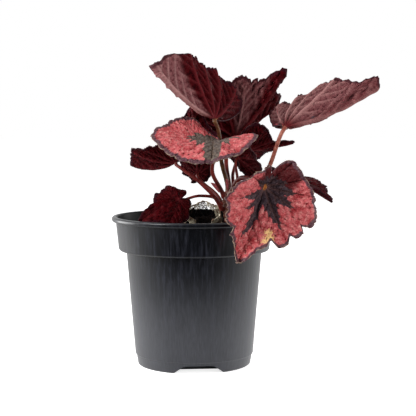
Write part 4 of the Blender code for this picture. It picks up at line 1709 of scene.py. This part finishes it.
@dataclass
class Studio:
    """White floor and surround, five lamps and the camera."""

    eye: tuple = (0.011, -0.9966, 0.2083)
    pitch: float = 4.84
    lens: float = 109.4
    sensor: float = 36.0
    floor_size: float = 6.0          # half its side
    room_light: float = 0.26         # of the surround on matt surfaces
    room_front: float = 0.02         # of the surround mirrored from the camera's side
    room_back: float = 0.90          # and from behind the plant
    room_turn: tuple = (0.90, -0.20)     # Y back along the ray, at the front and behind
    aim: tuple = (0.02, 0.0, 0.13)
    lamps: tuple = (("key", (-0.80, -0.50, 0.80), 0.5, 14.0),
                    ("fill", (0.75, -1.00, 0.45), 0.7, 9.0),
                    ("top", (0.05, 0.35, 1.2), 0.8, 3.0),
                    ("rim_left", (-1.1, 0.4, 0.25), 0.8, 13.0),
                    ("rim_right", (1.1, 0.5, 0.25), 0.8, 10.0))     # spot, size, watts
    unmirrored: tuple = ("fill",)    # lamps that glossy surfaces don't show

    def build_world(self) -> None:
        """Surround: white to the camera, grey as light, brighter behind in reflections."""
        world = bpy.data.worlds.new("studio_surround")
        bpy.context.scene.world = world
        world.use_nodes = True
        g = Graph(world.node_tree)
        path = g.node("LightPath").outputs
        seen = g.math("MAXIMUM", path["Is Camera Ray"], path["Is Transmission Ray"])
        ray = g.node("SeparateXYZ", Vector=g.node("NewGeometry").outputs["Incoming"])
        mirrored = g.blend(g.step(ray.outputs["Y"], *self.room_turn), self.room_front,
                           self.room_back)
        level = g.blend(path["Is Glossy Ray"], self.room_light, mirrored)
        g.put(world.node_tree.nodes["Background"], Color=(1.0, 1.0, 1.0, 1.0),
              Strength=g.blend(seen, level, 1.0))

    def build_floor(self, material: Material) -> None:
        """Large floor under the pot, kept out of glossy reflections.

        Args:
            material: Its white.
        """
        bm = bmesh.new()
        bmesh.ops.create_grid(bm, x_segments=2, y_segments=2, size=self.floor_size)
        floor = finish_mesh("floor", bm, material, crease=None)
        floor.data.transform(Matrix.Translation((0, 0, -0.05 * MM)))
        floor.visible_glossy = False

    def hang(self, name: str, spot: tuple, size: float, watts: float) -> None:
        """Square area lamp, turned to the plant.

        Args:
            name: The lamp's name.
            spot: Where it hangs.
            size: Length of its sides.
            watts: Its power.
        """
        data = bpy.data.lights.new(name, "AREA")
        data.size, data.energy = size, watts
        lamp = bpy.data.objects.new(name, data)
        lamp.visible_glossy = name not in self.unmirrored
        bpy.context.scene.collection.objects.link(lamp)
        lamp.location = spot
        way = Vector(self.aim) - Vector(spot)
        lamp.rotation_euler = way.to_track_quat("-Z", "Y").to_euler()

    def build(self, floor_finish: Material) -> None:
        """Makes the stage, the lamps and the camera.

        Args:
            floor_finish: White of the floor.
        """
        self.build_world()
        self.build_floor(floor_finish)
        for lamp in self.lamps:
            self.hang(*lamp)
        data = bpy.data.cameras.new("camera")
        data.lens, data.sensor_width = self.lens, self.sensor
        data.clip_start, data.clip_end = 0.01, 50.0
        camera = bpy.data.objects.new("camera", data)
        bpy.context.scene.collection.objects.link(camera)
        camera.location = self.eye
        camera.rotation_euler = (math.radians(90 - self.pitch), 0, 0)
        bpy.context.scene.camera = camera
        bpy.context.scene.view_settings.view_transform = "Standard"


# ---------------------------------------------------------------------- main
def build_plant(effects: Effects) -> None:
    """Builds the rhizome, the leaves on their stalks and the bracts.

    Args:
        effects: The shared node groups.
    """
    barks = {
        look: Skin("stalk_skin_" + look.value, young, old, fleck).build(effects)
        for look, young, old, fleck in (
            (StalkLook.RED, colour(124, 44, 38), colour(78, 20, 22), colour(170, 112, 92)),
            (StalkLook.TAN, colour(158, 96, 80), colour(120, 58, 46), colour(196, 150, 128)),
            # painted light: the olive-brown skin stands for a stalk lit from its side
            (StalkLook.OLIVE, colour(112, 76, 46), colour(70, 34, 24), colour(150, 120, 84)))}
    under = LeafUnder("leaf_underside").build(effects)
    tops = {
        LeafLook.RED: LeafTop("leaf_top_red").build(effects),
        LeafLook.GREY: LeafTop("leaf_top_grey", star=colour(66, 56, 54),
                               star_grey=colour(112, 102, 92),
                               vein=colour(140, 116, 100)).build(effects),
        LeafLook.DARK: LeafTop("leaf_top_dark", rose=colour(156, 64, 72),
                               rose_pale=colour(168, 96, 100), rose_deep=colour(104, 22, 34),
                               star=colour(44, 30, 38), star_grey=colour(70, 54, 62),
                               border=colour(60, 30, 40), fringe=colour(78, 52, 50)
                               ).build(effects),
        LeafLook.WINE: under}
    rhizome = Rhizome()
    rhizome.build(Skin("rhizome_bark", colour(112, 62, 48), colour(62, 32, 26),
                       colour(150, 110, 84), rough=0.6).build(effects))
    for leaf in LEAVES:
        Stalk(leaf, rhizome).build(barks[leaf.bark])
        slot = "blade_red" if leaf.look in (LeafLook.RED, LeafLook.GREY) else "blade_dark"
        Blade(leaf, Veins(leaf)).build(tops[leaf.look], under, slot)
    Bracts().build(Bract().build(effects))


def main() -> None:
    """Builds the stage, the pot, the bed, the plug and the plant."""
    logging.basicConfig(level=logging.INFO, format="%(message)s")
    effects = Effects()
    Studio().build(FloorWhite().build(effects))
    pot = NurseryPot()
    pot.build(PotPlastic().build(effects))
    peat, perlite, netting = (finish.build(effects) for finish in (Peat(), Grain(), NetFibre()))
    bed = Bed(pot)
    bed.build_peat(peat)
    bed.build_grains(perlite, peat)
    plug = Plug()
    plug.build_peat(peat)
    plug.build_net(netting, peat)
    plug.build_strands(netting)
    build_plant(effects)
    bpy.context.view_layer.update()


if __name__ == "__main__":
    main()
